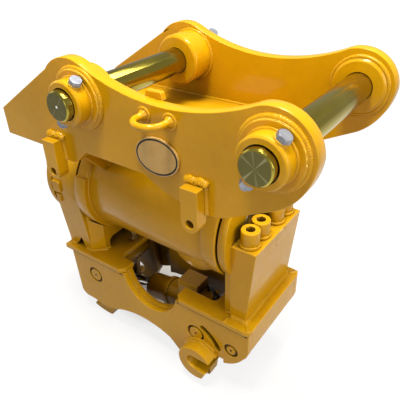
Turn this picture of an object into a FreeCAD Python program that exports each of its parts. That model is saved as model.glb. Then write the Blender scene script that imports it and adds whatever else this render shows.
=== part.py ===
"""Tilting quick coupler for an excavator arm: construction model.

Millimetres, +Z up. The tilt axis runs along X, the hitch pins run along Y.
The origin lies on the ground, below the middle of the two ears.
"""
import FreeCAD, Part
import math
import os
from FreeCAD import Vector

# Driving sizes: upper head
PIN_SPACING = 456.0
PIN_R = 32.5
PIN_PROUD = 16.5
RIGHT_PIN_X = 339.0
RIGHT_PIN_Z = 790.0
LEFT_PIN_RISE = 9.0
PIN_CHAMFER = 3.0
EAR_GAP = 369.0
EAR_THICK = 30.0
EAR_LEFT_X = -417.0
EAR_NOSE_R = 78.0
BUSH_R = 64.0
BUSH_PROUD = 10.0
NEAR_LEFT_BUSH_REACH = 24.5
FAR_LEFT_BUSH_REACH = 69.0
LEFT_BUSH_EASE = 6.0
RIGHT_BUSH_REACH = 10.0
RIGHT_BUSH_EASE = 8.0
COLLAR_R = 48.5
COLLAR_LENGTH = 34.0
COLLAR_EASE = 3.5
COLLAR_RECESS = 2.5
COLLAR_RECESS_DEPTH = 8.0
COLLAR_PAD_R = 14.0
COLLAR_PAD_PROUD = 4.0
CROSS_BOLT_TILT = 32.0
LOOP_BAR_R = 7.0
LOOP_SPAN = 64.0
LOOP_REACH = 56.0
LOOP_X = 94.0
LOOP_Z = 800.0
BADGE_X = 90.0
BADGE_Z = 719.0
BADGE_HALF_LENGTH = 56.0
BADGE_HALF_HEIGHT = 42.0
BADGE_TILT = 5.0
BADGE_THICK = 5.0
LOOP_WELD = 7.0
BRACKET_X = (-219.0, 184.0)
BRACKET_EYE_Z = 609.0
BRACKET_TOP_Z = 687.0
BRACKET_HALF_WIDTH = 20.0
BRACKET_THICK = 30.0
BRACKET_EYE_R = 10.0
DECK_X = (-268.0, 196.0)
DECK_TOP_Z = 690.0
DECK_THICK = 18.0
SADDLE_X = (-203.0, 112.0)
SADDLE_THICK = 25.0
SADDLE_SIDE_Z = 640.0
SADDLE_WAIST_Y = 112.0
SADDLE_WAIST_Z = 560.0

# Driving sizes: rotary actuator
TILT_AXIS_Z = 472.0
TUBE_R = 136.0
TUBE_WALL = 18.0
END_RING_STEP = 7.0
END_RING_LENGTH = 40.0
STRAP_THICK = 8.0
STRAP_TOP_ANGLE = 22.0
HEAD_LEFT_X = -283.0
HEAD_RIGHT_X = 171.0
SHAFT_R = 60.0
BEARING_LENGTH = 26.0
SEAL_LENGTH = 10.0
SLEEVE_LENGTH = 150.0
SLEEVE_MID_X = -55.0

# Driving sizes: hitch frame
PLATE_TOP_Z = 257.0
PLATE_THICK = 15.0
PLATE_LEFT_X = -390.0
PLATE_RIGHT_X = 270.0
PLATE_SETBACK = 2.0
PLATE_CORNER_R = 20.0
OPENING_X = (-201.0, 141.0)
OPENING_MARGIN = 50.0
SCOOP_MID_X = -55.0
SCOOP_R = 95.0
SCOOP_MID_Z = 255.0
SIDE_OVERHANG = 5.0
SIDE_THICK = 20.0
SIDE_LEFT_TOP_X = -369.0
SIDE_LEFT_FOOT_X = -357.0
SIDE_FOOT_Z = 65.0
SIDE_RIGHT_X = 266.0
JAW_X = 123.0
JAW_Z = 85.0
JAW_R = 54.0
JAW_CORE_R = 44.0
JAW_ROOT = (117.0, 71.0)
JAW_ROOT_R = 62.0
JAW_SEAT_R = 22.5
JAW_SEAT = (120.0, 89.0)
JAW_FLARE = 7.0
JAW_LIP_X = 157.0
JAW_PROUD = 38.0
JAW_INNER_PROUD = 30.0
JAW_COLLAR_R = 59.0
JAW_COLLAR_LENGTH = 9.0
WINDOW_R = 105.0
WINDOW_MID = (80.0, 95.0)
WINDOW_WIDTH = 19.0
WINDOW_ANGLES = (26.0, 63.0)
HOOK_PIN = (-277.0, 179.0)
STUB_PIN = (103.0, 156.0)
CYLINDER_PIN = (215.0, 160.0)
SIDE_PIN_R = 20.0
SIDE_PIN_GROOVE = 7.0
SIDE_PIN_GROOVE_DEPTH = 6.0
NEAR_LINER_THICK = 18.0
FAR_LINER_THICK = 36.0
LINER_X = (-160.0, 238.0)
CROSS_PLATE_THICK = 22.0
FRONT_CROSS_FOOT_Z = 176.0
REAR_CROSS_FOOT_Z = 125.0

# Driving sizes: actuator mounts on the hitch frame
UPRIGHT_LEFT_X = -384.0
UPRIGHT_BASE_HALF = 120.0
WEB_RIGHT_X = -262.0
WEB_CORNER = 30.0
ARCH_HALF = 72.0
ARCH_RISE = 31.0
ARCH_CORNER_R = 18.0
CAP_OVERHANG = 5.0
CAP_THICK = 21.0
CAP_BOLT_INSET = 16.0
CAP_BOLT_COUNT = 8
FLANGE_THICK = 21.0
FLANGE_FOOT_SETBACK = 8.0
BLOCK_TOP_Z = 477.0
BLOCK_SETBACK = 29.0
BLOCK_FOOT_LENGTH = 44.0
BLOCK_TOP_LENGTH = 66.0
BLOCK_PLUG_R = 25.0
BLOCK_PLUG_Y = 15.0
BLOCK_PLUG_Z = 452.0
FOOT_BOLT_R = 15.0
FOOT_BOLT_HEAD_R = 22.5
FOOT_BOLT_HEAD_H = 36.0
FOOT_BOLT_SOCKET = 22.0
FOOT_BOLT_Y = (36.0, 84.0)
FOOT_BOLT_DEPTH = 120.0
WASHER_R = 25.0
WASHER_THICK = 8.0

# Driving sizes: hook and lock cylinder
HOOK_TRAVEL = 24.0
CLAW_SIDE_GAP = 2.0
CLAW_THICK = 28.0
CLAW_HUB_R = 38.0
CLAW_SEAT = (-313.0, 42.5)
CLAW_SEAT_R = 23.5
LEVER_ARM = 106.0
LEVER_PLATE = 16.0
LEVER_SIDE_GAP = 2.0
LEVER_EYE_WALL = 5.0
ROD_EYE_WALL = 10.0
ANCHOR_PIN_R = 13.0
ANCHOR_PIN_GROOVE = 8.0
ANCHOR_EYE_R = 27.0
ANCHOR_EYE_WIDTH = 52.0
BARREL_R = 41.0
BARREL_START = 132.0
BARREL_NECK_R = 27.0
BARREL_WALL = 8.0
BARREL_END_GAP = 123.0
GLAND_LENGTH = 28.0
GLAND_PROUD = 6.0
ROD_SHARE = 0.54
GLAND_LIP = 4.0
PISTON_LENGTH = 30.0
PORT_RING_X = -84.0
PORT_RING_LENGTH = 16.0
RAIL_X = (-38.0, 32.0)
RAIL_HALF = 29.0
RAIL_TOP_Z = 201.0
FITTING_R = 11.0

# Clearances
RUNNING_FIT = 0.05
BODY_GAP = 5.0
OPEN_PIVOT_CLEARANCE = 2.5

# Fasteners
CROSS_BOLT_R = 8.0
CROSS_HEAD_AF = 24.0
CROSS_HEAD_H = 10.0
CROSS_NUT_H = 13.0
CAP_BOLT_R = 8.0
CAP_HEAD_AF = 24.0
CAP_HEAD_H = 10.0
CAP_BOLT_DEPTH = 45.0
PORT_BLOCK_THICK = 12.0
PORT_BLOCK_HALF = 34.0
PORT_BLOCK_Z = (394.0, 414.0)

# Worked-out sizes
LEFT_PIN = (RIGHT_PIN_X - PIN_SPACING, RIGHT_PIN_Z + LEFT_PIN_RISE)
RIGHT_PIN = (RIGHT_PIN_X, RIGHT_PIN_Z)
EAR_IN_Y = EAR_GAP / 2
EAR_OUT_Y = EAR_IN_Y + EAR_THICK
BUSH_OUT_Y = EAR_OUT_Y + BUSH_PROUD
COLLAR_MID_Y = BUSH_OUT_Y + COLLAR_LENGTH / 2
PIN_HALF = BUSH_OUT_Y + COLLAR_LENGTH + PIN_PROUD
TUBE_BORE_R = TUBE_R - TUBE_WALL
END_RING_R = TUBE_R + END_RING_STEP
STRAP_R = END_RING_R + STRAP_THICK
UPRIGHT_R = END_RING_R
PLATE_HALF_WIDTH = UPRIGHT_R - PLATE_SETBACK
PLATE_BOTTOM_Z = PLATE_TOP_Z - PLATE_THICK
OPENING_HALF_WIDTH = PLATE_HALF_WIDTH - OPENING_MARGIN
SIDE_OUT_Y = PLATE_HALF_WIDTH - SIDE_OVERHANG
SIDE_IN_Y = SIDE_OUT_Y - SIDE_THICK
JAW_OUT_Y = SIDE_OUT_Y + JAW_PROUD
JAW_IN_Y = SIDE_IN_Y - JAW_INNER_PROUD
CLAW_OUT_Y = SIDE_IN_Y - CLAW_SIDE_GAP
BLOCK_HALF_WIDTH = PLATE_HALF_WIDTH - BLOCK_SETBACK
FLANGE_FOOT_HALF = BLOCK_HALF_WIDTH - FLANGE_FOOT_SETBACK
GLAND_R = BARREL_R - GLAND_LIP
ROD_R = ROD_SHARE * GLAND_R
LEVER_PIN_R = 0.6 * ROD_R
ROD_EYE_R = LEVER_PIN_R + ROD_EYE_WALL
ROD_EYE_WIDTH = 2 * ROD_R
LEVER_EYE_R = ROD_EYE_R + LEVER_EYE_WALL
LEVER_GAP = ROD_EYE_WIDTH + 2 * LEVER_SIDE_GAP
UPRIGHT_RIGHT_X = HEAD_LEFT_X - BODY_GAP
CAP_R = UPRIGHT_R + CAP_OVERHANG
CAP_BOLT_PCD = 2 * (UPRIGHT_R - CAP_BOLT_INSET)
FLANGE_LEFT_X = HEAD_RIGHT_X + BODY_GAP
FLANGE_R = END_RING_R - CAP_OVERHANG
BLOCK_LEFT_X = FLANGE_LEFT_X + FLANGE_THICK
PIN_REACH = 4 * COLLAR_R
CAP_LEFT_X = UPRIGHT_LEFT_X - CAP_THICK
SADDLE_DROP_Z = DECK_TOP_Z - DECK_THICK


def point(x, y, z):
    return Vector(x, y, z)


def box(x0, x1, y0, y1, z0, z1):
    return Part.makeBox(x1 - x0, y1 - y0, z1 - z0, point(x0, y0, z0))


def rod_x(x0, x1, radius, y=0.0, z=TILT_AXIS_Z):
    return Part.makeCylinder(radius, x1 - x0, point(x0, y, z), point(1, 0, 0))


def rod_y(y0, y1, radius, place):
    return Part.makeCylinder(radius, y1 - y0, point(place[0], y0, place[1]), point(0, 1, 0))


def rod_z(z0, z1, radius, x, y):
    return Part.makeCylinder(radius, z1 - z0, point(x, y, z0), point(0, 0, 1))


def tube_x(x0, x1, outer, inner):
    return rod_x(x0, x1, outer).cut(rod_x(x0 - 1, x1 + 1, inner))


def mirrored(shape):
    """The same piece on the far side of the middle plane."""
    return shape.mirror(point(0, 0, 0), point(0, 1, 0))


def both_sides(shape):
    return Part.makeCompound([shape, mirrored(shape)])


def closed_wire(path, place):
    """Wire through path: a point makes a line, a (middle, end) pair makes an arc."""
    edges = []
    start = path[0]
    current = start
    for step in path[1:] + [start]:
        if isinstance(step[0], tuple):
            middle, end = step
            arc = Part.Arc(place(current), place(middle), place(end))
            edges.append(arc.toShape())
            current = end
            continue
        if step != current:
            edges.append(Part.makeLine(place(current), place(step)))
        current = step
    return Part.Wire(edges)


def plate_y(path, y0, y1):
    """Plate with an X-Z outline, between two Y planes."""
    wire = closed_wire(path, lambda p: point(p[0], y0, p[1]))
    return Part.Face(wire).extrude(point(0, y1 - y0, 0))


def plate_x(path, x0, x1):
    """Plate with a Y-Z outline, between two X planes."""
    wire = closed_wire(path, lambda p: point(x0, p[0], p[1]))
    return Part.Face(wire).extrude(point(x1 - x0, 0, 0))


def plate_z(path, z0, z1):
    """Plate with an X-Y outline, between two Z planes."""
    wire = closed_wire(path, lambda p: point(p[0], p[1], z0))
    return Part.Face(wire).extrude(point(0, 0, z1 - z0))


def on_circle(centre, radius, degrees):
    angle = math.radians(degrees)
    return (centre[0] + radius * math.cos(angle), centre[1] + radius * math.sin(angle))


def hexagon(across_flats, height, base, axis):
    """Hexagonal prism standing on base along axis."""
    corner_r = across_flats / math.sqrt(3)
    corners = [point(*on_circle((0, 0), corner_r, 60 * k), 0) for k in range(7)]
    prism = Part.Face(Part.makePolygon(corners)).extrude(point(0, 0, height))
    cone = Part.makeCone(corner_r + height * 0.6, corner_r * 0.86, height * 1.0)
    prism = prism.common(cone.fuse(Part.makeCylinder(corner_r + 1, height * 0.62)))
    prism.Placement = FreeCAD.Placement(base, FreeCAD.Rotation(point(0, 0, 1), axis))
    return prism


def pin_centres():
    return (LEFT_PIN, RIGHT_PIN)


# Upper head

def ear_outline():
    """Ear seen from the near side, from the lower left corner, clockwise up."""
    nose_top = on_circle(RIGHT_PIN, EAR_NOSE_R + 3, 92)
    nose_tip = (RIGHT_PIN_X + EAR_NOSE_R, RIGHT_PIN_Z)
    nose_mid = on_circle(RIGHT_PIN, EAR_NOSE_R, 42)
    heel_mid = on_circle(RIGHT_PIN, EAR_NOSE_R + 4, -42)
    return [
        (EAR_LEFT_X, 651),
        (EAR_LEFT_X, 720),
        (-215, 847),
        ((-152, 880), (-94, 867)),
        ((85, 824), (293, 861)),
        ((318, 870), nose_top),
        (nose_mid, nose_tip),
        (heel_mid, (352, 684)),
        (240, 627),
        ((184, 622), (134, 631)),
        ((92, 644), (49, 667)),
        (-127, 669),
        (-170, 632),
        (-207, 631),
        (-272, 650),
    ]


def near_ear():
    ear = plate_y(ear_outline(), -EAR_OUT_Y, -EAR_IN_Y)
    for centre in pin_centres():
        ear = ear.cut(rod_y(-EAR_OUT_Y - 1, -EAR_IN_Y + 1, BUSH_R, centre))
    return ear


def near_bush(centre, reach, ease):
    """Thick bush welded through the ear, reaching inward from the ear's inner face."""
    inner_y = -EAR_IN_Y + reach
    bush = rod_y(-BUSH_OUT_Y, inner_y, BUSH_R, centre)
    bush = bush.makeChamfer(2.0, [e for e in bush.Edges if e.CenterOfMass.y < -EAR_OUT_Y and len(e.Vertexes) == 1])
    inner_rim = [e for e in bush.Edges if len(e.Vertexes) == 1 and e.CenterOfMass.y > inner_y - 0.1]
    bush = bush.makeChamfer(ease, inner_rim)
    return bush.cut(rod_y(-BUSH_OUT_Y - 1, inner_y + 1, PIN_R + RUNNING_FIT, centre))


def bolt_axis():
    angle = math.radians(CROSS_BOLT_TILT)
    return point(math.sin(angle), 0, math.cos(angle))


def cross_rod(centre, reach_down, reach_up, radius):
    """Round bar along the cross bolt's axis through the near collar."""
    axis = bolt_axis()
    middle = point(centre[0], -COLLAR_MID_Y, centre[1])
    return Part.makeCylinder(radius, reach_up + reach_down, middle - axis * reach_down, axis)


def near_collar(centre):
    y_out = -BUSH_OUT_Y - COLLAR_LENGTH
    collar = rod_y(y_out, -BUSH_OUT_Y, COLLAR_R, centre)
    outer_edges = [e for e in collar.Edges if abs(e.CenterOfMass.y - y_out) < 0.1]
    collar = collar.makeChamfer(COLLAR_EASE, outer_edges)
    pad_reach = COLLAR_R + COLLAR_PAD_PROUD
    collar = collar.fuse(cross_rod(centre, pad_reach, pad_reach, COLLAR_PAD_R))
    collar = collar.cut(rod_y(y_out - 1, -BUSH_OUT_Y + 1, PIN_R + RUNNING_FIT, centre))
    collar = collar.cut(rod_y(y_out - 1, y_out + COLLAR_RECESS_DEPTH, PIN_R + COLLAR_RECESS, centre))
    return collar.cut(cross_rod(centre, PIN_REACH, PIN_REACH, CROSS_BOLT_R + RUNNING_FIT))


def upper_pin(centre):
    pin = rod_y(-PIN_HALF, PIN_HALF, PIN_R, centre)
    pin = pin.makeChamfer(PIN_CHAMFER, pin.Edges)
    near_hole = cross_rod(centre, PIN_REACH, PIN_REACH, CROSS_BOLT_R + RUNNING_FIT)
    return pin.cut(near_hole).cut(mirrored(near_hole))


def cross_bolt(centre):
    axis = bolt_axis()
    seat = COLLAR_R + COLLAR_PAD_PROUD
    tail = seat + CROSS_NUT_H + 6
    shank = cross_rod(centre, tail, seat, CROSS_BOLT_R)
    head_base = point(centre[0], -COLLAR_MID_Y, centre[1]) + axis * seat
    return shank.fuse(hexagon(CROSS_HEAD_AF, CROSS_HEAD_H, head_base, axis))


def cross_nut(centre):
    axis = bolt_axis()
    seat = COLLAR_R + COLLAR_PAD_PROUD
    base = point(centre[0], -COLLAR_MID_Y, centre[1]) - axis * seat
    nut = hexagon(CROSS_HEAD_AF, CROSS_NUT_H, base, axis * -1)
    return nut.cut(cross_rod(centre, PIN_REACH, PIN_REACH, CROSS_BOLT_R + RUNNING_FIT))


def four_at_collars(make):
    near = [make(centre) for centre in pin_centres()]
    return Part.makeCompound(near + [mirrored(shape) for shape in near])


def lifting_loop():
    """Round bar bent to a U, its feet on the near ear, its bow reaching out."""
    half = LOOP_SPAN / 2
    bow_y = -EAR_OUT_Y - LOOP_REACH + LOOP_BAR_R
    knee_y = bow_y + half * 0.8
    foot = point(LOOP_X - half, -EAR_OUT_Y, LOOP_Z)
    knee = point(LOOP_X - half, knee_y, LOOP_Z)
    far_knee = point(LOOP_X + half, knee_y, LOOP_Z)
    far_foot = point(LOOP_X + half, -EAR_OUT_Y, LOOP_Z)
    bow = Part.Arc(knee, point(LOOP_X, bow_y, LOOP_Z), far_knee).toShape()
    path = Part.Wire([Part.makeLine(foot, knee), bow, Part.makeLine(far_knee, far_foot)])
    ring = Part.Wire([Part.makeCircle(LOOP_BAR_R, foot, point(0, 1, 0))])
    bar = path.makePipeShell([ring], True, True, 2)
    for x in (LOOP_X - half, LOOP_X + half):
        weld = Part.makeCone(LOOP_BAR_R + LOOP_WELD, LOOP_BAR_R, LOOP_WELD + 2,
                             point(x, -EAR_OUT_Y, LOOP_Z), point(0, -1, 0))
        bar = bar.fuse(weld)
    return bar


def oval_plate():
    """Plain oval plate on the near ear; its face carries no mark."""
    oval = Part.Ellipse(point(0, 0, 0), BADGE_HALF_LENGTH, BADGE_HALF_HEIGHT)
    plate = Part.Face(Part.Wire(oval.toShape())).extrude(point(0, 0, BADGE_THICK))
    plate = plate.makeChamfer(1.0, [e for e in plate.Edges if e.CenterOfMass.z > BADGE_THICK - 0.1])
    plate.rotate(point(0, 0, 0), point(0, 0, 1), BADGE_TILT)
    plate.rotate(point(0, 0, 0), point(1, 0, 0), 90)
    plate.translate(point(BADGE_X, -EAR_OUT_Y, BADGE_Z))
    return plate


def near_bracket(x):
    """Bar with a round end and an eye, standing on the ear's outer face."""
    eye = (x, BRACKET_EYE_Z)
    half = BRACKET_HALF_WIDTH
    outline = [
        (x - half, BRACKET_TOP_Z),
        (x + half, BRACKET_TOP_Z),
        (x + half, BRACKET_EYE_Z),
        ((x, BRACKET_EYE_Z - half), (x - half, BRACKET_EYE_Z)),
    ]
    bar = plate_y(outline, -EAR_OUT_Y - BRACKET_THICK, -EAR_OUT_Y)
    return bar.cut(rod_y(-EAR_OUT_Y - BRACKET_THICK - 1, -EAR_OUT_Y + 1, BRACKET_EYE_R, eye))


def deck_plate():
    deck = box(DECK_X[0], DECK_X[1], -EAR_IN_Y, EAR_IN_Y, SADDLE_DROP_Z, DECK_TOP_Z)
    window = box(SADDLE_X[0] + 50, SADDLE_X[1] - 50, -95, 95, SADDLE_DROP_Z - 1, DECK_TOP_Z + 1)
    window = window.makeFillet(25, [e for e in window.Edges if abs(e.tangentAt(e.FirstParameter).z) > 0.9])
    return deck.cut(window)


def saddle_web(x):
    """Cross web between the ears, resting on the actuator tube."""
    outline = [
        (-EAR_IN_Y, SADDLE_DROP_Z),
        (EAR_IN_Y, SADDLE_DROP_Z),
        (EAR_IN_Y, SADDLE_SIDE_Z),
        (SADDLE_WAIST_Y, SADDLE_WAIST_Z),
        (-SADDLE_WAIST_Y, SADDLE_WAIST_Z),
        (-EAR_IN_Y, SADDLE_SIDE_Z),
    ]
    web = plate_x(outline, x - SADDLE_THICK / 2, x + SADDLE_THICK / 2)
    return web.cut(rod_x(x - SADDLE_THICK, x + SADDLE_THICK, TUBE_R))


# Rotary actuator

def actuator_tube():
    return tube_x(HEAD_LEFT_X + 2, HEAD_RIGHT_X - 2, TUBE_R, TUBE_BORE_R)


def end_ring(x0):
    ring = tube_x(x0, x0 + END_RING_LENGTH, END_RING_R, TUBE_R)
    rims = [e for e in ring.Edges if abs(e.BoundBox.ZLength / 2 - END_RING_R) < 0.5 and len(e.Vertexes) == 1]
    return ring.makeChamfer(2.5, [e for e in rims if e.BoundBox.XLength < 0.1])


def left_end_ring():
    """The left ring, with the thicker strap round its lower part."""
    ring = end_ring(HEAD_LEFT_X)
    strap = tube_x(HEAD_LEFT_X, HEAD_LEFT_X + END_RING_LENGTH, STRAP_R, END_RING_R - 3)
    side = STRAP_R * math.cos(math.radians(STRAP_TOP_ANGLE)) + 20
    top = TILT_AXIS_Z + STRAP_R * math.sin(math.radians(STRAP_TOP_ANGLE))
    strap = strap.cut(box(HEAD_LEFT_X - 1, HEAD_LEFT_X + END_RING_LENGTH + 1, -side, side, top, top + STRAP_R))
    return ring.fuse(strap).removeSplitter()


def inner_ring(x0, length):
    """Ring that fills the tube's bore around the shaft."""
    return tube_x(x0, x0 + length, TUBE_BORE_R, SHAFT_R + RUNNING_FIT)


def splined_sleeve():
    half = SLEEVE_LENGTH / 2
    return tube_x(SLEEVE_MID_X - half, SLEEVE_MID_X + half,
                  TUBE_BORE_R - RUNNING_FIT, SHAFT_R + RUNNING_FIT)


def actuator_shaft():
    return rod_x(UPRIGHT_LEFT_X, BLOCK_LEFT_X, SHAFT_R)


def front_flange():
    """Round flange with a foot, welded to the shaft's right end."""
    x0 = FLANGE_LEFT_X
    foot = box(x0, BLOCK_LEFT_X, -FLANGE_FOOT_HALF, FLANGE_FOOT_HALF, PLATE_TOP_Z, TILT_AXIS_Z - 60)
    flange = rod_x(x0, BLOCK_LEFT_X, FLANGE_R).fuse(foot)
    return flange.removeSplitter().cut(rod_x(x0 - 1, BLOCK_LEFT_X + 1, SHAFT_R))


def block_bolt_places():
    x = BLOCK_LEFT_X + BLOCK_TOP_LENGTH / 2 + 1
    rows = [-FOOT_BOLT_Y[1], -FOOT_BOLT_Y[0], FOOT_BOLT_Y[0], FOOT_BOLT_Y[1]]
    return [(x, y) for y in rows]


def foot_block():
    """Tapered block that ties the actuator's flange down to the hitch frame."""
    outline = [
        (BLOCK_LEFT_X, PLATE_TOP_Z),
        (BLOCK_LEFT_X + BLOCK_FOOT_LENGTH, PLATE_TOP_Z),
        (BLOCK_LEFT_X + BLOCK_TOP_LENGTH, BLOCK_TOP_Z),
        (BLOCK_LEFT_X, BLOCK_TOP_Z),
    ]
    block = plate_y(outline, -BLOCK_HALF_WIDTH, BLOCK_HALF_WIDTH)
    top_rim = [e for e in block.Edges if e.BoundBox.ZMin > BLOCK_TOP_Z - 1]
    block = block.makeChamfer(2.0, top_rim)
    for x, y in block_bolt_places():
        block = block.cut(rod_z(BLOCK_TOP_Z - FOOT_BOLT_DEPTH, BLOCK_TOP_Z + 1, FOOT_BOLT_R, x, y))
    plug = rod_x(BLOCK_LEFT_X + 40, BLOCK_LEFT_X + 90, BLOCK_PLUG_R, BLOCK_PLUG_Y, BLOCK_PLUG_Z)
    core = rod_x(BLOCK_LEFT_X + 40, BLOCK_LEFT_X + 90, BLOCK_PLUG_R - 1.5, BLOCK_PLUG_Y, BLOCK_PLUG_Z)
    groove = plug.cut(core).common(block_skin(1.5))
    return block.cut(groove)


def block_skin(depth):
    """Thin layer under the block's sloping outer face."""
    top_x = BLOCK_LEFT_X + BLOCK_TOP_LENGTH
    foot_x = BLOCK_LEFT_X + BLOCK_FOOT_LENGTH
    outline = [(foot_x - depth, PLATE_TOP_Z), (foot_x + 5, PLATE_TOP_Z),
               (top_x + 5, BLOCK_TOP_Z), (top_x - depth, BLOCK_TOP_Z)]
    return plate_y(outline, -BLOCK_HALF_WIDTH, BLOCK_HALF_WIDTH)


def foot_bolt(x, y):
    """Socket-head cap screw, head up."""
    seat = BLOCK_TOP_Z + WASHER_THICK
    head = rod_z(seat, seat + FOOT_BOLT_HEAD_H, FOOT_BOLT_HEAD_R, x, y)
    head = head.makeChamfer(1.5, [e for e in head.Edges if e.BoundBox.ZMin > seat + 1])
    socket = hexagon(FOOT_BOLT_SOCKET, 16, point(x, y, seat + FOOT_BOLT_HEAD_H - 15), point(0, 0, 1))
    shank = rod_z(BLOCK_TOP_Z - FOOT_BOLT_DEPTH, seat, FOOT_BOLT_R - RUNNING_FIT, x, y)
    return head.cut(socket).fuse(shank)


def foot_washer(x, y):
    ring = rod_z(BLOCK_TOP_Z, BLOCK_TOP_Z + WASHER_THICK, WASHER_R, x, y)
    return ring.cut(rod_z(BLOCK_TOP_Z - 1, BLOCK_TOP_Z + WASHER_THICK + 1, FOOT_BOLT_R, x, y))


def upright_outline():
    """Outline of the left upright: a disc on a foot with straight tapering sides."""
    shoulder = on_circle((0, TILT_AXIS_Z), UPRIGHT_R, -12)
    return [
        (-UPRIGHT_BASE_HALF, PLATE_TOP_Z),
        (-shoulder[0], shoulder[1]),
        ((0, TILT_AXIS_Z + UPRIGHT_R), shoulder),
        (UPRIGHT_BASE_HALF, PLATE_TOP_Z),
    ]


def upright_corner(side):
    """Wedge that takes the sharp inner edge off the upright's foot."""
    y_out = side * (UPRIGHT_R + 20)
    y_edge = side * (UPRIGHT_BASE_HALF - WEB_CORNER)
    x_edge = WEB_RIGHT_X - WEB_CORNER
    plan = [(x_edge, side * UPRIGHT_BASE_HALF), (WEB_RIGHT_X, y_edge), (WEB_RIGHT_X + 1, y_edge),
            (WEB_RIGHT_X + 1, y_out), (x_edge, y_out)]
    return plate_z(plan, PLATE_TOP_Z - 1, TILT_AXIS_Z)


def upright_arch():
    """Opening through the foot for the hoses."""
    top = PLATE_TOP_Z + ARCH_RISE
    arch = box(UPRIGHT_LEFT_X - 1, WEB_RIGHT_X + 1, -ARCH_HALF, ARCH_HALF, PLATE_TOP_Z - 40, top)
    along_x = [e for e in arch.Edges if e.BoundBox.XLength > 50 and e.BoundBox.ZMin > top - 1]
    return arch.makeFillet(ARCH_CORNER_R, along_x)


def left_upright():
    body = plate_x(upright_outline(), UPRIGHT_LEFT_X, WEB_RIGHT_X)
    body = body.cut(box(UPRIGHT_RIGHT_X, WEB_RIGHT_X + 1, -UPRIGHT_R - 1, UPRIGHT_R + 1,
                        TILT_AXIS_Z - 60, TILT_AXIS_Z + UPRIGHT_R + 1))
    body = body.cut(rod_x(UPRIGHT_RIGHT_X, WEB_RIGHT_X + 1, STRAP_R + BODY_GAP))
    body = body.cut(upright_arch())
    for side in (-1, 1):
        body = body.cut(upright_corner(side))
        notch = [(UPRIGHT_LEFT_X + 26, PLATE_TOP_Z), (UPRIGHT_LEFT_X + 64, PLATE_TOP_Z),
                 (UPRIGHT_LEFT_X + 56, PLATE_TOP_Z + 38)]
        y = side * UPRIGHT_BASE_HALF
        body = body.cut(plate_y(notch, min(y * 1.1, y * 0.78), max(y * 1.1, y * 0.78)))
    body = body.cut(rod_x(UPRIGHT_LEFT_X - 1, WEB_RIGHT_X + 1, SHAFT_R))
    for y, z in cap_bolt_places():
        body = body.cut(rod_x(UPRIGHT_LEFT_X - 1, UPRIGHT_LEFT_X + CAP_BOLT_DEPTH, CAP_BOLT_R, y, z))
    return body


def cap_bolt_places():
    step = 360 / CAP_BOLT_COUNT
    return [on_circle((0, TILT_AXIS_Z), CAP_BOLT_PCD / 2, step * (k + 0.5)) for k in range(CAP_BOLT_COUNT)]


def rear_cap():
    cap = rod_x(CAP_LEFT_X, UPRIGHT_LEFT_X, CAP_R)
    cap = cap.makeChamfer(4.0, [e for e in cap.Edges if e.BoundBox.XMax < CAP_LEFT_X + 0.1])
    cap = cap.cut(rod_x(CAP_LEFT_X - 1, CAP_LEFT_X + 8, 52))
    for y, z in cap_bolt_places():
        cap = cap.cut(rod_x(CAP_LEFT_X - 1, UPRIGHT_LEFT_X + 1, CAP_BOLT_R + RUNNING_FIT, y, z))
    return cap


def cap_bolt(y, z):
    shank = rod_x(CAP_LEFT_X, UPRIGHT_LEFT_X + CAP_BOLT_DEPTH, CAP_BOLT_R - RUNNING_FIT, y, z)
    return shank.fuse(hexagon(CAP_HEAD_AF, CAP_HEAD_H, point(CAP_LEFT_X, y, z), point(-1, 0, 0)))


def port_block():
    """Oil port block on the rear cap, toward the near side."""
    x0 = CAP_LEFT_X - PORT_BLOCK_THICK
    return box(x0, CAP_LEFT_X, -PORT_BLOCK_HALF, PORT_BLOCK_HALF, *PORT_BLOCK_Z)


# Hitch frame

def scoop():
    """Round relief in the plate and side plates below the actuator."""
    return rod_y(-PLATE_HALF_WIDTH - 1, PLATE_HALF_WIDTH + 1, SCOOP_R, (SCOOP_MID_X, SCOOP_MID_Z))


def top_plates():
    """The frame's top: one plate at each end, the scoop's gap between them."""
    w = PLATE_HALF_WIDTH
    z0, z1 = PLATE_BOTTOM_Z, PLATE_TOP_Z
    plate = box(PLATE_LEFT_X, PLATE_RIGHT_X, -w, w, z0, z1)
    upright = [e for e in plate.Edges if e.BoundBox.ZLength > PLATE_THICK - 1]
    right = [e for e in upright if e.CenterOfMass.x > 0]
    plate = plate.makeFillet(PLATE_CORNER_R, right)
    opening = box(OPENING_X[0], OPENING_X[1], -OPENING_HALF_WIDTH, OPENING_HALF_WIDTH, z0 - 1, z1 + 1)
    corners = [e for e in opening.Edges if e.BoundBox.ZLength > PLATE_THICK]
    opening = opening.makeFillet(14, corners)
    plate = plate.cut(opening)
    half_gap = SCOOP_R
    lead = 15
    y_in = OPENING_HALF_WIDTH - 6
    gap_plan = [
        (SCOOP_MID_X - half_gap - lead - 4, w + 1),
        (SCOOP_MID_X - half_gap - lead, w),
        (SCOOP_MID_X - half_gap, w - lead),
        (SCOOP_MID_X - half_gap, y_in),
        (SCOOP_MID_X + half_gap, y_in),
        (SCOOP_MID_X + half_gap, w - lead),
        (SCOOP_MID_X + half_gap + lead, w),
        (SCOOP_MID_X + half_gap + lead + 4, w + 1),
    ]
    gap = plate_z(gap_plan, z0 - 1, z1 + 1)
    plate = plate.cut(gap).cut(mirrored(gap))
    return sorted(plate.Solids, key=lambda solid: solid.CenterOfMass.x)


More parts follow.
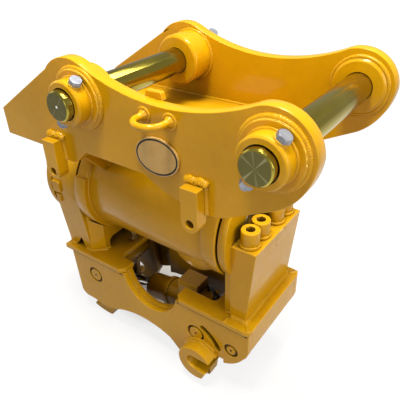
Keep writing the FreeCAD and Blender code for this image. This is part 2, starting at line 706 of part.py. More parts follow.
def side_outline():
    top = PLATE_BOTTOM_Z
    root_left = on_circle(JAW_ROOT, JAW_ROOT_R + 14, 200)
    root_low = on_circle(JAW_ROOT, JAW_ROOT_R, 262)
    root_x, root_z = JAW_ROOT
    return [
        (SIDE_LEFT_TOP_X, top),
        (SIDE_LEFT_FOOT_X - 1, SIDE_FOOT_Z + 20),
        ((SIDE_LEFT_FOOT_X + 8, SIDE_FOOT_Z + 6), (SIDE_LEFT_FOOT_X + 26, SIDE_FOOT_Z)),
        (-300, SIDE_FOOT_Z),
        (-282, 58),
        ((-232, 62), (-190, 80)),
        ((-75, 101), (8, 81)),
        ((24, 67), root_left),
        ((root_x - 40, root_z - JAW_ROOT_R + 14), root_low),
        (root_x + 30, root_z - JAW_ROOT_R + 8),
        (root_x + 41, JAW_SEAT[1] + JAW_SEAT_R - 8),
        (195, 99),
        ((226, 118), (252, 150)),
        ((262, 166), (SIDE_RIGHT_X, 188)),
        (SIDE_RIGHT_X, top),
    ]


def jaw_slot(y0, y1):
    """Mouth that takes the attachment's front pin, opening to the right."""
    x, z = JAW_SEAT
    reach = 3.2 * JAW_SEAT_R
    drop = math.tan(math.radians(JAW_FLARE)) * reach
    outline = [
        (x, z - JAW_SEAT_R),
        (x + reach, z - JAW_SEAT_R - drop),
        (x + reach, z + JAW_SEAT_R),
        (x, z + JAW_SEAT_R),
        ((x - JAW_SEAT_R, z), (x, z - JAW_SEAT_R)),
    ]
    return plate_y(outline, y0, y1)


def window_slot(y0, y1):
    """Curved sight window beside the jaw."""
    low, high = WINDOW_ANGLES
    mid = (low + high) / 2
    outer = WINDOW_R + WINDOW_WIDTH / 2
    inner = WINDOW_R - WINDOW_WIDTH / 2
    cap = math.degrees(WINDOW_WIDTH / 2 / WINDOW_R)
    outline = [
        on_circle(WINDOW_MID, inner, low),
        (on_circle(WINDOW_MID, WINDOW_R, low - cap), on_circle(WINDOW_MID, outer, low)),
        (on_circle(WINDOW_MID, outer, mid), on_circle(WINDOW_MID, outer, high)),
        (on_circle(WINDOW_MID, WINDOW_R, high + cap), on_circle(WINDOW_MID, inner, high)),
        (on_circle(WINDOW_MID, inner, mid), on_circle(WINDOW_MID, inner, low)),
    ]
    return plate_y(outline, y0, y1)


def side_pin_places():
    """Place, head radius and groove width of each pin that shows on a side plate."""
    return (
        (HOOK_PIN, SIDE_PIN_R, SIDE_PIN_GROOVE),
        (STUB_PIN, SIDE_PIN_R, SIDE_PIN_GROOVE),
        (CYLINDER_PIN, ANCHOR_PIN_R, ANCHOR_PIN_GROOVE),
    )


def side_profile(y0, y1):
    """Side plate blank between two Y planes, with the scoop, the mouth and the window."""
    plate = plate_y(side_outline(), y0, y1)
    for tool in (scoop(), jaw_slot(y0 - 1, y1 + 1), window_slot(y0 - 1, y1 + 1)):
        plate = plate.cut(tool)
    return plate.cut(rod_y(y0 - 1, y1 + 1, JAW_CORE_R, (JAW_X, JAW_Z)))


def near_side_plate():
    y0, y1 = -SIDE_OUT_Y, -SIDE_IN_Y
    plate = side_profile(y0, y1)
    for place, head_r, groove in side_pin_places():
        plate = plate.cut(rod_y(y0 - 1, y1 + 1, head_r, place))
        ring = rod_y(y0 - 1, y0 + SIDE_PIN_GROOVE_DEPTH, head_r + groove, place)
        plate = plate.cut(ring)
    return plate


def side_liner(thick):
    """Doubler inside the near side plate, from the scoop to the front cross plate."""
    y0, y1 = -SIDE_IN_Y, -SIDE_IN_Y + thick
    liner = side_profile(y0, y1)
    keep = box(LINER_X[0], LINER_X[1], y0 - 1, y1 + 1, 0, PLATE_BOTTOM_Z)
    liner = liner.common(keep)
    liner = liner.cut(rod_y(y0 - 1, y1 + 1, SIDE_PIN_R, STUB_PIN))
    liner = liner.cut(rod_y(y0 - 1, y1 + 1, ANCHOR_PIN_R, CYLINDER_PIN))
    return max(liner.Solids, key=lambda solid: solid.Volume)


def near_jaw():
    """Stepped jaw boss on the side plate, its core through it, with the mouth cut in it."""
    centre = (JAW_X, JAW_Z)
    boss = rod_y(-JAW_OUT_Y, -SIDE_OUT_Y, JAW_R, centre)
    front = [e for e in boss.Edges if abs(e.CenterOfMass.y + JAW_OUT_Y) < 0.1]
    boss = boss.makeChamfer(2.0, front)
    step = rod_y(-SIDE_OUT_Y - JAW_COLLAR_LENGTH, -SIDE_OUT_Y, JAW_COLLAR_R, (JAW_X, JAW_Z - 4))
    core = rod_y(-SIDE_OUT_Y, -JAW_IN_Y, JAW_CORE_R, centre)
    boss = boss.fuse([step, core]).removeSplitter()
    far_x = JAW_X + 2 * JAW_R
    lip = [(JAW_LIP_X, JAW_Z - 8), (JAW_LIP_X, JAW_Z - 22), (JAW_LIP_X - 14, JAW_Z - JAW_R),
           (JAW_LIP_X - 14, JAW_Z - 2 * JAW_R), (far_x, JAW_Z - 2 * JAW_R), (far_x, JAW_Z - 8)]
    boss = boss.cut(plate_y(lip, -JAW_OUT_Y - 1, -JAW_IN_Y + 1))
    boss = boss.cut(jaw_slot(-JAW_OUT_Y - 1, -JAW_IN_Y + 1))
    return max(boss.Solids, key=lambda solid: solid.Volume)


def side_pin(place, radius, inner_y):
    """Pin end flush with the side plate, with a shallow centre mark."""
    pin = rod_y(-SIDE_OUT_Y, -inner_y, radius, place)
    mark = Part.makeCone(4, 0, 4, point(place[0], -SIDE_OUT_Y, place[1]), point(0, 1, 0))
    return pin.cut(mark)


def through_pin(place, radius):
    """Pin across the frame, with a centre mark in each end."""
    near = side_pin(place, radius, 0)
    return near.fuse(mirrored(near)).removeSplitter()


def cross_plate(x0, foot_z):
    return box(x0, x0 + CROSS_PLATE_THICK, -SIDE_IN_Y, SIDE_IN_Y, foot_z, PLATE_BOTTOM_Z)


# Hook and lock cylinder

def cylinder_line():
    """Unit vector from the anchor pin to the lever eye, and the eye at rest."""
    perp_ratio = (CYLINDER_PIN[1] - HOOK_PIN[1] + LEVER_ARM) / (CYLINDER_PIN[0] - HOOK_PIN[0])
    tilt = math.atan(perp_ratio)
    rest = tilt - math.radians(HOOK_TRAVEL / 2)
    eye = (HOOK_PIN[0] + LEVER_ARM * math.sin(rest), HOOK_PIN[1] - LEVER_ARM * math.cos(rest))
    run = (eye[0] - CYLINDER_PIN[0], eye[1] - CYLINDER_PIN[1])
    length = math.hypot(*run)
    return (run[0] / length, run[1] / length), length, eye


def along(distance):
    direction = cylinder_line()[0]
    return point(CYLINDER_PIN[0] + direction[0] * distance, 0, CYLINDER_PIN[1] + direction[1] * distance)


def cylinder_rod(start, end, radius):
    direction = cylinder_line()[0]
    return Part.makeCylinder(radius, end - start, along(start), point(direction[0], 0, direction[1]))


def near_claw():
    """Hooked plate that grips the rear pin from below and from the right."""
    hub = HOOK_PIN
    seat_x, seat_z = CLAW_SEAT
    sole_r = hub[1]
    toe = on_circle(hub, sole_r, 252)
    sole = on_circle(hub, sole_r, 262)
    heel = on_circle(hub, sole_r, 276)
    outline = [
        (hub[0] - CLAW_HUB_R, hub[1]),
        ((hub[0], hub[1] + CLAW_HUB_R), (hub[0] + CLAW_HUB_R, hub[1])),
        (hub[0] + 46, 112),
        (hub[0] + 52, 62),
        heel,
        (sole, toe),
        (seat_x - 22, 12),
        (seat_x, seat_z),
        (seat_x + 4, SIDE_FOOT_Z + 6),
        (hub[0] - CLAW_HUB_R + 4, 110),
    ]
    claw = plate_y(outline, -CLAW_OUT_Y, -CLAW_OUT_Y + CLAW_THICK)
    claw = claw.cut(rod_y(-CLAW_OUT_Y - 1, -CLAW_OUT_Y + CLAW_THICK + 1, CLAW_SEAT_R, CLAW_SEAT))
    return claw.cut(rod_y(-CLAW_OUT_Y - 1, -CLAW_OUT_Y + CLAW_THICK + 1, SIDE_PIN_R + RUNNING_FIT, hub))


def hook_tube():
    half = CLAW_OUT_Y - CLAW_THICK
    tube = rod_y(-half, half, CLAW_HUB_R, HOOK_PIN)
    return tube.cut(rod_y(-half - 1, half + 1, SIDE_PIN_R + RUNNING_FIT, HOOK_PIN))


def lever_plate():
    """Lever cheek welded on the hook tube, with the eye for the rod pin."""
    direction, length, eye = cylinder_line()
    y0 = LEVER_GAP / 2
    y1 = y0 + LEVER_PLATE
    cheek = rod_y(y0, y1, LEVER_EYE_R, eye)
    link = Part.makeBox(2 * LEVER_EYE_R - 8, LEVER_PLATE, LEVER_ARM, point(-LEVER_EYE_R + 4, 0, -LEVER_ARM))
    angle = math.degrees(math.atan2(eye[0] - HOOK_PIN[0], HOOK_PIN[1] - eye[1]))
    link.rotate(point(0, 0, 0), point(0, 1, 0), -angle)
    link.translate(point(HOOK_PIN[0], y0, HOOK_PIN[1]))
    cheek = cheek.fuse(link).removeSplitter()
    cheek = cheek.cut(rod_y(y0 - 1, y1 + 1, CLAW_HUB_R, HOOK_PIN))
    return cheek.cut(rod_y(y0 - 1, y1 + 1, LEVER_PIN_R, eye))


def lever_pin():
    eye = cylinder_line()[2]
    half = LEVER_GAP / 2 + LEVER_PLATE
    return rod_y(-half, half, LEVER_PIN_R, eye)


def lock_rod():
    """Piston, rod and eye of the lock cylinder in one piece."""
    direction, length, eye = cylinder_line()
    head_at = BARREL_START + BARREL_WALL + PISTON_LENGTH + 50
    rod = cylinder_rod(head_at, length - ROD_EYE_R + 2, ROD_R)
    piston = cylinder_rod(head_at - PISTON_LENGTH, head_at, BARREL_R - BARREL_WALL - RUNNING_FIT)
    half = ROD_EYE_WIDTH / 2
    eye_body = rod_y(-half, half, ROD_EYE_R, eye)
    rod = rod.fuse([piston, eye_body]).removeSplitter()
    return rod.cut(rod_y(-half - 1, half + 1, LEVER_PIN_R + OPEN_PIVOT_CLEARANCE, eye))


def lock_barrel():
    """Barrel with its anchor eye around the cylinder pin."""
    length = cylinder_line()[1]
    start = ANCHOR_EYE_R - 8
    end = length - BARREL_END_GAP
    half = ANCHOR_EYE_WIDTH / 2
    eye = rod_y(-half, half, ANCHOR_EYE_R, CYLINDER_PIN)
    neck = cylinder_rod(start, BARREL_START + BARREL_WALL, BARREL_NECK_R)
    barrel = cylinder_rod(BARREL_START, end, BARREL_R)
    rims = [e for e in barrel.Edges if len(e.Vertexes) == 1]
    barrel = barrel.makeChamfer(2.5, rims).fuse(neck)
    bore = cylinder_rod(BARREL_START + BARREL_WALL, end + 1, BARREL_R - BARREL_WALL)
    barrel = barrel.fuse(eye).removeSplitter().cut(bore)
    barrel = barrel.cut(cylinder_rod(end - GLAND_LENGTH, end + 1, GLAND_R))
    slope = -cylinder_line()[0][0]
    ring_start = (CYLINDER_PIN[0] - PORT_RING_X) / slope - PORT_RING_LENGTH / 2
    ring = cylinder_rod(ring_start, ring_start + PORT_RING_LENGTH, BARREL_R + 5)
    ring = ring.cut(cylinder_rod(ring_start - 1, ring_start + PORT_RING_LENGTH + 1, BARREL_R - 1))
    barrel = barrel.fuse(ring).removeSplitter()
    return barrel.cut(rod_y(-half - 1, half + 1, ANCHOR_PIN_R, CYLINDER_PIN))


def rod_gland():
    end = cylinder_line()[1] - BARREL_END_GAP
    gland = cylinder_rod(end - GLAND_LENGTH, end + GLAND_PROUD, GLAND_R)
    return gland.cut(cylinder_rod(end - GLAND_LENGTH - 1, end + GLAND_PROUD + 1, ROD_R + RUNNING_FIT))


def port_rail():
    """Valve block that stands on the barrel, its flat top just below the hitch's top plate."""
    rail = box(RAIL_X[0], RAIL_X[1], -RAIL_HALF, RAIL_HALF, CYLINDER_PIN[1] - 50, RAIL_TOP_Z)
    top_rim = [e for e in rail.Edges if e.BoundBox.ZMin > RAIL_TOP_Z - 1]
    rail = rail.makeChamfer(1.5, top_rim)
    rail = rail.cut(cylinder_rod(20, cylinder_line()[1], BARREL_R))
    return max(rail.Solids, key=lambda solid: solid.CenterOfMass.z)


def hose_fitting():
    """Two-step hose union standing on the hitch plate behind the upright."""
    x, y = OPENING_X[0] - 26, -6
    foot = hexagon(24, 12, point(x, y, PLATE_TOP_Z), point(0, 0, 1))
    neck = rod_z(PLATE_TOP_Z + 12, PLATE_TOP_Z + 22, FITTING_R - 2, x, y)
    elbow = hexagon(19, 14, point(x, y, PLATE_TOP_Z + 20), point(0, 0, 1))
    return foot.fuse([neck, elbow]).removeSplitter()


def make_nodes():
    nodes = {}
    nodes["near_ear"] = near_ear()
    nodes["far_ear"] = mirrored(nodes["near_ear"])
    bush_ends = (
        (NEAR_LEFT_BUSH_REACH, FAR_LEFT_BUSH_REACH, LEFT_BUSH_EASE),
        (RIGHT_BUSH_REACH, RIGHT_BUSH_REACH, RIGHT_BUSH_EASE),
    )
    for side, centre, (near_reach, far_reach, ease) in zip(("left", "right"), pin_centres(), bush_ends):
        collar = near_collar(centre)
        nodes["near_%s_bush" % side] = near_bush(centre, near_reach, ease)
        nodes["far_%s_bush" % side] = mirrored(near_bush(centre, far_reach, ease))
        nodes["near_%s_collar" % side] = collar
        nodes["far_%s_collar" % side] = mirrored(collar)
        nodes["%s_hitch_pin" % side] = upper_pin(centre)
    nodes["cross_bolts"] = four_at_collars(cross_bolt)
    nodes["cross_nuts"] = four_at_collars(cross_nut)
    nodes["lifting_loop"] = lifting_loop()
    nodes["oval_plate"] = oval_plate()
    for side, x in zip(("left", "right"), BRACKET_X):
        bracket = near_bracket(x)
        nodes["near_%s_bracket" % side] = bracket
        nodes["far_%s_bracket" % side] = mirrored(bracket)
    nodes["deck_plate"] = deck_plate()
    nodes["saddle_webs"] = Part.makeCompound([saddle_web(x) for x in SADDLE_X])
    nodes["actuator_tube"] = actuator_tube()
    nodes["left_end_ring"] = left_end_ring()
    nodes["right_end_ring"] = end_ring(HEAD_RIGHT_X - END_RING_LENGTH)
    tube_left = HEAD_LEFT_X + 2
    tube_right = HEAD_RIGHT_X - 2
    seals = [inner_ring(x, SEAL_LENGTH) for x in (tube_left, tube_right - SEAL_LENGTH)]
    nodes["shaft_seals"] = Part.makeCompound(seals)
    nodes["left_bearing"] = inner_ring(tube_left + SEAL_LENGTH, BEARING_LENGTH)
    nodes["right_bearing"] = inner_ring(tube_right - SEAL_LENGTH - BEARING_LENGTH, BEARING_LENGTH)
    nodes["splined_sleeve"] = splined_sleeve()
    nodes["actuator_shaft"] = actuator_shaft()
    nodes["front_flange"] = front_flange()
    nodes["foot_block"] = foot_block()
    nodes["foot_bolts"] = Part.makeCompound([foot_bolt(x, y) for x, y in block_bolt_places()])
    nodes["foot_washers"] = Part.makeCompound([foot_washer(x, y) for x, y in block_bolt_places()])
    nodes["left_upright"] = left_upright()
    nodes["rear_cap"] = rear_cap()
    nodes["cap_bolts"] = Part.makeCompound([cap_bolt(y, z) for y, z in cap_bolt_places()])
    nodes["port_block"] = port_block()
    nodes["left_top_plate"], nodes["right_top_plate"] = top_plates()
    nodes["near_side_plate"] = near_side_plate()
    nodes["far_side_plate"] = mirrored(nodes["near_side_plate"])
    nodes["near_jaw"] = near_jaw()
    nodes["far_jaw"] = mirrored(nodes["near_jaw"])
    liners = [side_liner(NEAR_LINER_THICK), mirrored(side_liner(FAR_LINER_THICK))]
    nodes["side_liners"] = Part.makeCompound(liners)
    nodes["front_cross_plate"] = cross_plate(SIDE_RIGHT_X - CROSS_PLATE_THICK, FRONT_CROSS_FOOT_Z)
    nodes["rear_cross_plate"] = cross_plate(SIDE_LEFT_FOOT_X, REAR_CROSS_FOOT_Z)
    nodes["hook_pivot_pin"] = through_pin(HOOK_PIN, SIDE_PIN_R)
    nodes["cylinder_pin"] = through_pin(CYLINDER_PIN, ANCHOR_PIN_R)
    stub_end = SIDE_IN_Y - NEAR_LINER_THICK
    nodes["stub_pins"] = both_sides(side_pin(STUB_PIN, SIDE_PIN_R, stub_end))
    nodes["near_claw"] = near_claw()
    nodes["far_claw"] = mirrored(nodes["near_claw"])
    nodes["hook_tube"] = hook_tube()
    nodes["lever_cheeks"] = both_sides(lever_plate())
    nodes["lever_pin"] = lever_pin()
    nodes["lock_rod"] = lock_rod()
    nodes["lock_barrel"] = lock_barrel()
    nodes["rod_gland"] = rod_gland()
    nodes["port_rail"] = port_rail()
    nodes["hose_fitting"] = hose_fitting()
    return nodes


def main():
    os.makedirs("parts", exist_ok=True)
    for name, shape in make_nodes().items():
        shape.exportStep("parts/%s.step" % name)
        print(name, len(shape.Solids), "%.0f cm3" % (shape.Volume / 1000), shape.isValid())


main()
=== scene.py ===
"""Looks of the rotating quick coupler: enamel, plating, weld beads and small fittings."""

import math
import random

import bpy
from mathutils import Matrix, Vector


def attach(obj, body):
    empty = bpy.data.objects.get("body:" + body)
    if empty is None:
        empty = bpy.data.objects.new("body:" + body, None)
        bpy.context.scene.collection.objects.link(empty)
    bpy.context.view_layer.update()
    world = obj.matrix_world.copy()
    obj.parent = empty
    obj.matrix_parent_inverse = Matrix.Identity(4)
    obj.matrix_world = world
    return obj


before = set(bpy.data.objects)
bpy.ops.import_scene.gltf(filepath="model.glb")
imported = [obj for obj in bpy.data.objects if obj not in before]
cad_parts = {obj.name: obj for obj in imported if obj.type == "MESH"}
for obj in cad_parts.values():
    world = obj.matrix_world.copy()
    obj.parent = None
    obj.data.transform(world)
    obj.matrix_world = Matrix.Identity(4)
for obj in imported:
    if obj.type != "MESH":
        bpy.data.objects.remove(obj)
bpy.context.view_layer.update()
random.seed(7)
MM = 0.001
FULL_TURN = 6.2832

# Clean-up and eased edges of the solids, in metres and degrees

SAME_POINT = 0.00001
FLAT_WITHIN = 0.4
EDGE_EASE = 0.0016
EDGE_ANGLE = 38

# Sizes repeated from the part's source, in millimetres

TILT_Z = 472.0
LEFT_PIN = (-117.0, 799.0)
RIGHT_PIN = (339.0, 790.0)
PINS = (LEFT_PIN, RIGHT_PIN)
EAR_IN_Y = 184.5
EAR_OUT_Y = 214.5
BUSH_R = 64.0
BUSH_OUT_Y = 224.5
COLLAR_R = 48.5
BRACKETS = ((-219.0, 634.0), (184.0, 624.0))
BRACKET_HALF = 20.0
BRACKET_EDGE_TOPS = (684.0, 686.0)
BRACKET_CREST = ((-27, 687), (-15, 693), (-3, 689), (10, 694), (26, 688))
LOOP_X = (62.0, 126.0)
LOOP_Z = 800.0
LOOP_R = 14.0
TUBE_R = 136.0
TUBE_ENDS_X = (-243.0, 131.0)
SADDLE_X = (-203.0, 112.0)
SADDLE_HALF = 12.5
SADDLE_REACH = 150.0
SADDLE_SIDE_Z = (642.0, 671.0)
DECK_X = (-268.0, 196.0)
DECK_Z = (672.0, 690.0)
DECK_UNDER_BEAD_END = -132.0
PLATE_Z = (242.0, 257.0)
SIDE_OUT_Y = 136.0
SIDE_IN_Y = 116.0
CAP_FOOT_X = (-384.0, -360.0)
FOOT_HALF = 120.0
FOOT_NARROW_HALF = 74.0
UPRIGHT_FOOT_X = (-318.0, -293.0, -262.0)
UPRIGHT_CORNER_HALF = 91.0
BLOCK_FOOT_X = (198.0, 241.0)
BLOCK_HALF = 112.0
TOP_SEAMS = (((244.0, 116.0), (264.0, 136.0)), ((198.0, 118.0), (194.0, 139.0)),
             ((-292.0, 125.0), (-286.0, 139.0)))
FOOT_BLOCK_EDGE = ((177.0, 197.0), 104.0)
SIDE_BEAD_X = (-335.0, -162.0)
SIDE_BEAD_Z = (129.0, 240.0)
LINER_X = (42.0, 236.0)
TOP_EDGE_X = 176.0
TOP_EDGE_HALF = 102.0
JAW = (123.0, 81.0)
JAW_COLLAR_R = 59.0
LINER_FACES = (-98.0, 80.0)
STUB_PIN = (103.0, 156.0)
CYLINDER_PIN = (215.0, 160.0)
HOOK_PIN = (-277.0, 179.0)
CLAW_IN_Y = 86.0
HOOK_TUBE_R = 38.0
CHEEK_FACES = (22.0, 38.0)

# Weld beads: radii in millimetres

FILLET = 5.0
THIN_FILLET = 4.5
BUSH_BEAD_OUT = 6.4
BUSH_BEAD_IN = 5.2
COLLAR_BEAD = 3.6
BRACKET_BEAD_RIGHT = 6.4
BRACKET_TOP_BEAD = 10.0
TUBE_BEAD = 5.5
END_BEAD = 3.0
LOOP_BEAD = 3.5
CAP_BEAD = 6.0
UPRIGHT_BEAD = 8.0
BLOCK_BEAD = 9.0
CLAW_BEAD = 4.0
CHEEK_BEAD = 3.5

# Weld beads: crown of the flatter ones, arcs in degrees, and the ripple's shares and lengths

FLAT_CROWN = 0.74
SEAM_CROWN = 0.5
ARC_STEPS = 72
SADDLE_ARC = (44.0, 136.0)
JAW_ARC = (44.0, 246.0)
CHEEK_ARC = (200.0, 330.0)
PITCH = 4.2
RIPPLE_SHARE = 0.085
SLOW_SHARE = 0.09
SLOW_LENGTHS = (31.0, 13.0)
JITTER = 0.035
END_SHARE = 0.45
END_GROWTH = 0.28
RIPPLE_LAG = 0.32

# Small plates: name, outline in X and Z, the two faces in Y, body, and easing in metres

SMALL_PLATES = (
    ("far_ear_pad", ((-214, 842), (-190, 856), (-193, 861), (-209, 853)),
     (EAR_OUT_Y, EAR_IN_Y), "upper_head", 0.002),
    ("near_ear_tab", ((42, 822), (88, 822), (84, 839), (46, 839)),
     (-EAR_IN_Y - 2, -EAR_IN_Y + 12), "upper_head", 0.003),
    ("near_rim_lug", ((-380, 457), (-350, 457), (-350, 488), (-356, 492), (-380, 492)),
     (-140, -150), "hitch_frame", 0.0025),
    ("near_rim_stop", ((-379, 420), (-362, 420), (-359, 447), (-379, 447)),
     (-132, -144), "hitch_frame", 0.0025),
)

# Other small pieces, in millimetres and degrees

HOSE_BEND = ((83, -10, 173), (83, -10, 184), (76, -8, 193), (65, -4, 197),
             (54, 2, 193), (49, 8, 181), (48, 12, 166))
HOSE_R = 5.5
HOSE_STEPS = 5
HOSE_UP = (0.3, -1, 0.2)
PLUG_AT = (92.0, 12.0)
PLUG_RINGS = ((160.0, 9.0), (173.0, 9.0), (175.0, 7.5))
PLUG_TURN = 0.3
SEAM_RUNS = ((-364.0, -154.0), (44.0, 262.0))
SEAM_Z = (235.6, 239.6)
SEAM_SINK = 0.5
SEAM_STAND = 0.6
# Dark rings painted as shade in the side pins' grooves: pin centre, inner and outer radius
SHADE_RINGS = ((HOOK_PIN, 20.6, 26.6), (STUB_PIN, 20.6, 26.6), (CYLINDER_PIN, 13.6, 20.6))
GROOVE_FLOOR = 6.8
SHADE_CREST = 4.6
MARK_R = 2.3
MARK_STAND = 0.5
OVAL_AT = (90.0, 719.0)
OVAL_LINE = (51.0, 37.0)
OVAL_LEAN = 5.0
OVAL_LINE_HALF = 1.9
OVAL_LINE_RISE = 0.25
OVAL_THICK = 5.0

# Camera, from the photo: focal length and frame in pixels, axes and place in metres

FOCAL = 465.707
FRAME = 400.0
SENSOR = 36.0
CAMERA_RIGHT = (0.81388265, 0.58044826, -0.02597791)
CAMERA_DOWN = (0.28985763, -0.44436426, -0.84765733)
CAMERA_AHEAD = (-0.50356488, 0.6823637, -0.52990772)
CAMERA_AT = (0.643115, -0.829113, 1.129598)

# Lamps: name, place in metres, size in metres, watts

LAMPS = (
    ("right_fill", (3.0, -0.6, 1.6), (1.6, 1.6), 44),
    ("overhead", (0.4, 0.8, 3.4), (1.6, 1.0), 68),
    ("top", (0.2, -0.6, 3.2), (0.6, 0.6), 76),
    ("left_fill", (-3.0, -0.6, 1.8), (1.4, 1.4), 6),
    ("front_low", (0.3, -2.8, 1.2), (1.4, 1.0), 9),
)
LAMP_TARGET = (0, 0, 0.45)
LAMP_COLOUR = (1.0, 0.96, 0.88)

# Floor and world: sizes in metres, strengths where 1 is white

FLOOR_HALF = 12
FLOOR_GLOW = 1.08
FLOOR_IN_GLOSS = 0.4
UNDER_PART = (-0.20, 0.15, 0.0)
WORLD_LIGHT = ((1.0, 0.96, 0.90, 1), 0.33)
WORLD_IN_GLOSS = ((1.0, 0.97, 0.92, 1), 0.42)
WORLD_TO_CAMERA = ((1, 1, 1, 1), 1.0)


# Colours

def linear(r, g, b):
    """Linear colour from 0-255 screen values."""
    def one(v):
        v = v / 255.0
        return v / 12.92 if v <= 0.04045 else ((v + 0.055) / 1.055) ** 2.4
    return (one(r), one(g), one(b), 1.0)


ENAMEL = linear(216, 161, 6)
ENAMEL_DEEP = linear(207, 153, 5)
ENAMEL_FINE = linear(192, 140, 6)
# Paler tone mixed in on upward faces
ENAMEL_PALE_TOP = linear(222, 176, 52)
# Painted highlight along sharp edges
ENAMEL_EDGE_HIGHLIGHT = linear(250, 208, 92)
# Painted shade in bores, gaps and corners
ENAMEL_RECESS_SHADE = linear(120, 90, 12)
# Painted shade deep inside the frame
ENAMEL_DEEP_SHADE = linear(58, 36, 10)
PIN_SHANK = linear(180, 164, 68)
PIN_SHANK_DEEP = linear(152, 140, 58)
PIN_END = linear(97, 92, 56)
# Painted highlight streaks on the pins' end faces
PIN_END_HIGHLIGHT = linear(206, 200, 158)
# Painted shade and highlight of the centre hole in the left pin's ends
CENTRE_HOLE_SHADE = linear(58, 52, 30)
CENTRE_HOLE_HIGHLIGHT = linear(250, 248, 240)
OVAL_PALE = linear(206, 168, 96)
OVAL_BLUSH = linear(190, 148, 74)
FLOOR_TONE = (0.80, 0.80, 0.79, 1)
FLOOR_BOUNCE = (0.20, 0.17, 0.13, 1)


# Materials

class Shader:
    """A material with a few helpers for its nodes."""

    def __init__(self, name):
        self.mat = bpy.data.materials.new(name)
        self.mat.use_nodes = True
        self.tree = self.mat.node_tree
        self.body = self.tree.nodes["Principled BSDF"]
        self.coord = self.node("ShaderNodeTexCoord").outputs["Object"]

    def node(self, kind, **settings):
        """Adds a node with these settings."""
        made = self.tree.nodes.new(kind)
        for key, value in settings.items():
            setattr(made, key, value)
        return made

    def link(self, a, b):
        self.tree.links.new(a, b)

    def set(self, socket, value):
        """Gives a socket of the surface one value."""
        self.body.inputs[socket].default_value = value

    def noise(self, scale, detail=2.0, rough=0.5, stretch=None):
        """Noise in the piece's own place; stretch scales it along X, Y and Z."""
        tex = self.node("ShaderNodeTexNoise")
        tex.inputs["Scale"].default_value = scale
        tex.inputs["Detail"].default_value = detail
        tex.inputs["Roughness"].default_value = rough
        source = self.coord
        if stretch:
            mapping = self.node("ShaderNodeMapping")
            mapping.inputs["Scale"].default_value = stretch
            self.link(source, mapping.inputs["Vector"])
            source = mapping.outputs["Vector"]
        self.link(source, tex.inputs["Vector"])
        return tex.outputs["Fac"]

    def remap(self, value, low, high, to_low, to_high):
        """Value stretched from one range to another, and held at its ends."""
        made = self.node("ShaderNodeMapRange")
        made.inputs["From Min"].default_value = low
        made.inputs["From Max"].default_value = high
        made.inputs["To Min"].default_value = to_low
        made.inputs["To Max"].default_value = to_high
        self.link(value, made.inputs["Value"])
        return made.outputs["Result"]

    def mix(self, factor, a, b):
        """Colour a where factor is 0, b where it is 1."""
        made = self.node("ShaderNodeMix", data_type="RGBA")
        self.link(factor, made.inputs["Factor"])
        for value, socket in ((a, made.inputs[6]), (b, made.inputs[7])):
            if isinstance(value, tuple):
                socket.default_value = value
            else:
                self.link(value, socket)
        return made.outputs[2]

    def math(self, operation, a, b=None):
        """One sum on sockets or plain numbers."""
        made = self.node("ShaderNodeMath", operation=operation)
        for value, socket in ((a, made.inputs[0]), (b, made.inputs[1])):
            if value is None:
                continue
            if isinstance(value, (int, float)):
                socket.default_value = value
            else:
                self.link(value, socket)
        return made.outputs[0]

    def axes(self, vector):
        """The X, Y and Z outputs of a vector."""
        split = self.node("ShaderNodeSeparateXYZ")
        self.link(vector, split.inputs["Vector"])
        return split.outputs

    def facing_up(self):
        """0 on walls and undersides, 1 on level tops."""
        normal = self.axes(self.node("ShaderNodeNewGeometry").outputs["Normal"])
        return self.remap(normal["Z"], 0.5, 0.95, 0.0, 1.0)

    def edge(self, radius):
        """How far the rounded normal leans from the true one: 1 along sharp edges."""
        bevel = self.node("ShaderNodeBevel", samples=4)
        bevel.inputs["Radius"].default_value = radius
        geometry = self.node("ShaderNodeNewGeometry")
        dot = self.node("ShaderNodeVectorMath", operation="DOT_PRODUCT")
        self.link(bevel.outputs["Normal"], dot.inputs[0])
        self.link(geometry.outputs["Normal"], dot.inputs[1])
        return self.remap(dot.outputs["Value"], 0.98, 0.80, 0.0, 1.0)

    def cavity(self, reach, low, high):
        """1 deep in bores and gaps, 0 on open faces."""
        shade = self.node("ShaderNodeAmbientOcclusion", samples=6)
        shade.inputs["Distance"].default_value = reach
        return self.remap(shade.outputs["AO"], low, high, 1.0, 0.0)

    def bump(self, height, strength, distance, below=None):
        """Normal that follows a height, on top of another normal if one is given."""
        made = self.node("ShaderNodeBump")
        made.inputs["Strength"].default_value = strength
        made.inputs["Distance"].default_value = distance
        self.link(height, made.inputs["Height"])
        if below is not None:
            self.link(below, made.inputs["Normal"])
        return made.outputs["Normal"]

    def ring_distance(self, centre):
        """Distance from a Y axis through centre."""
        mapping = self.node("ShaderNodeMapping")
        mapping.inputs["Location"].default_value = (-centre[0] * MM, 0, -centre[1] * MM)
        mapping.inputs["Scale"].default_value = (1, 0, 1)
        self.link(self.coord, mapping.inputs["Vector"])
        length = self.node("ShaderNodeVectorMath", operation="LENGTH")
        self.link(mapping.outputs["Vector"], length.inputs[0])
        return length.outputs["Value"]

    def distance_to(self, point):
        """Distance from a point given in metres."""
        made = self.node("ShaderNodeVectorMath", operation="DISTANCE")
        made.inputs[1].default_value = point
        self.link(self.coord, made.inputs[0])
        return made.outputs["Value"]


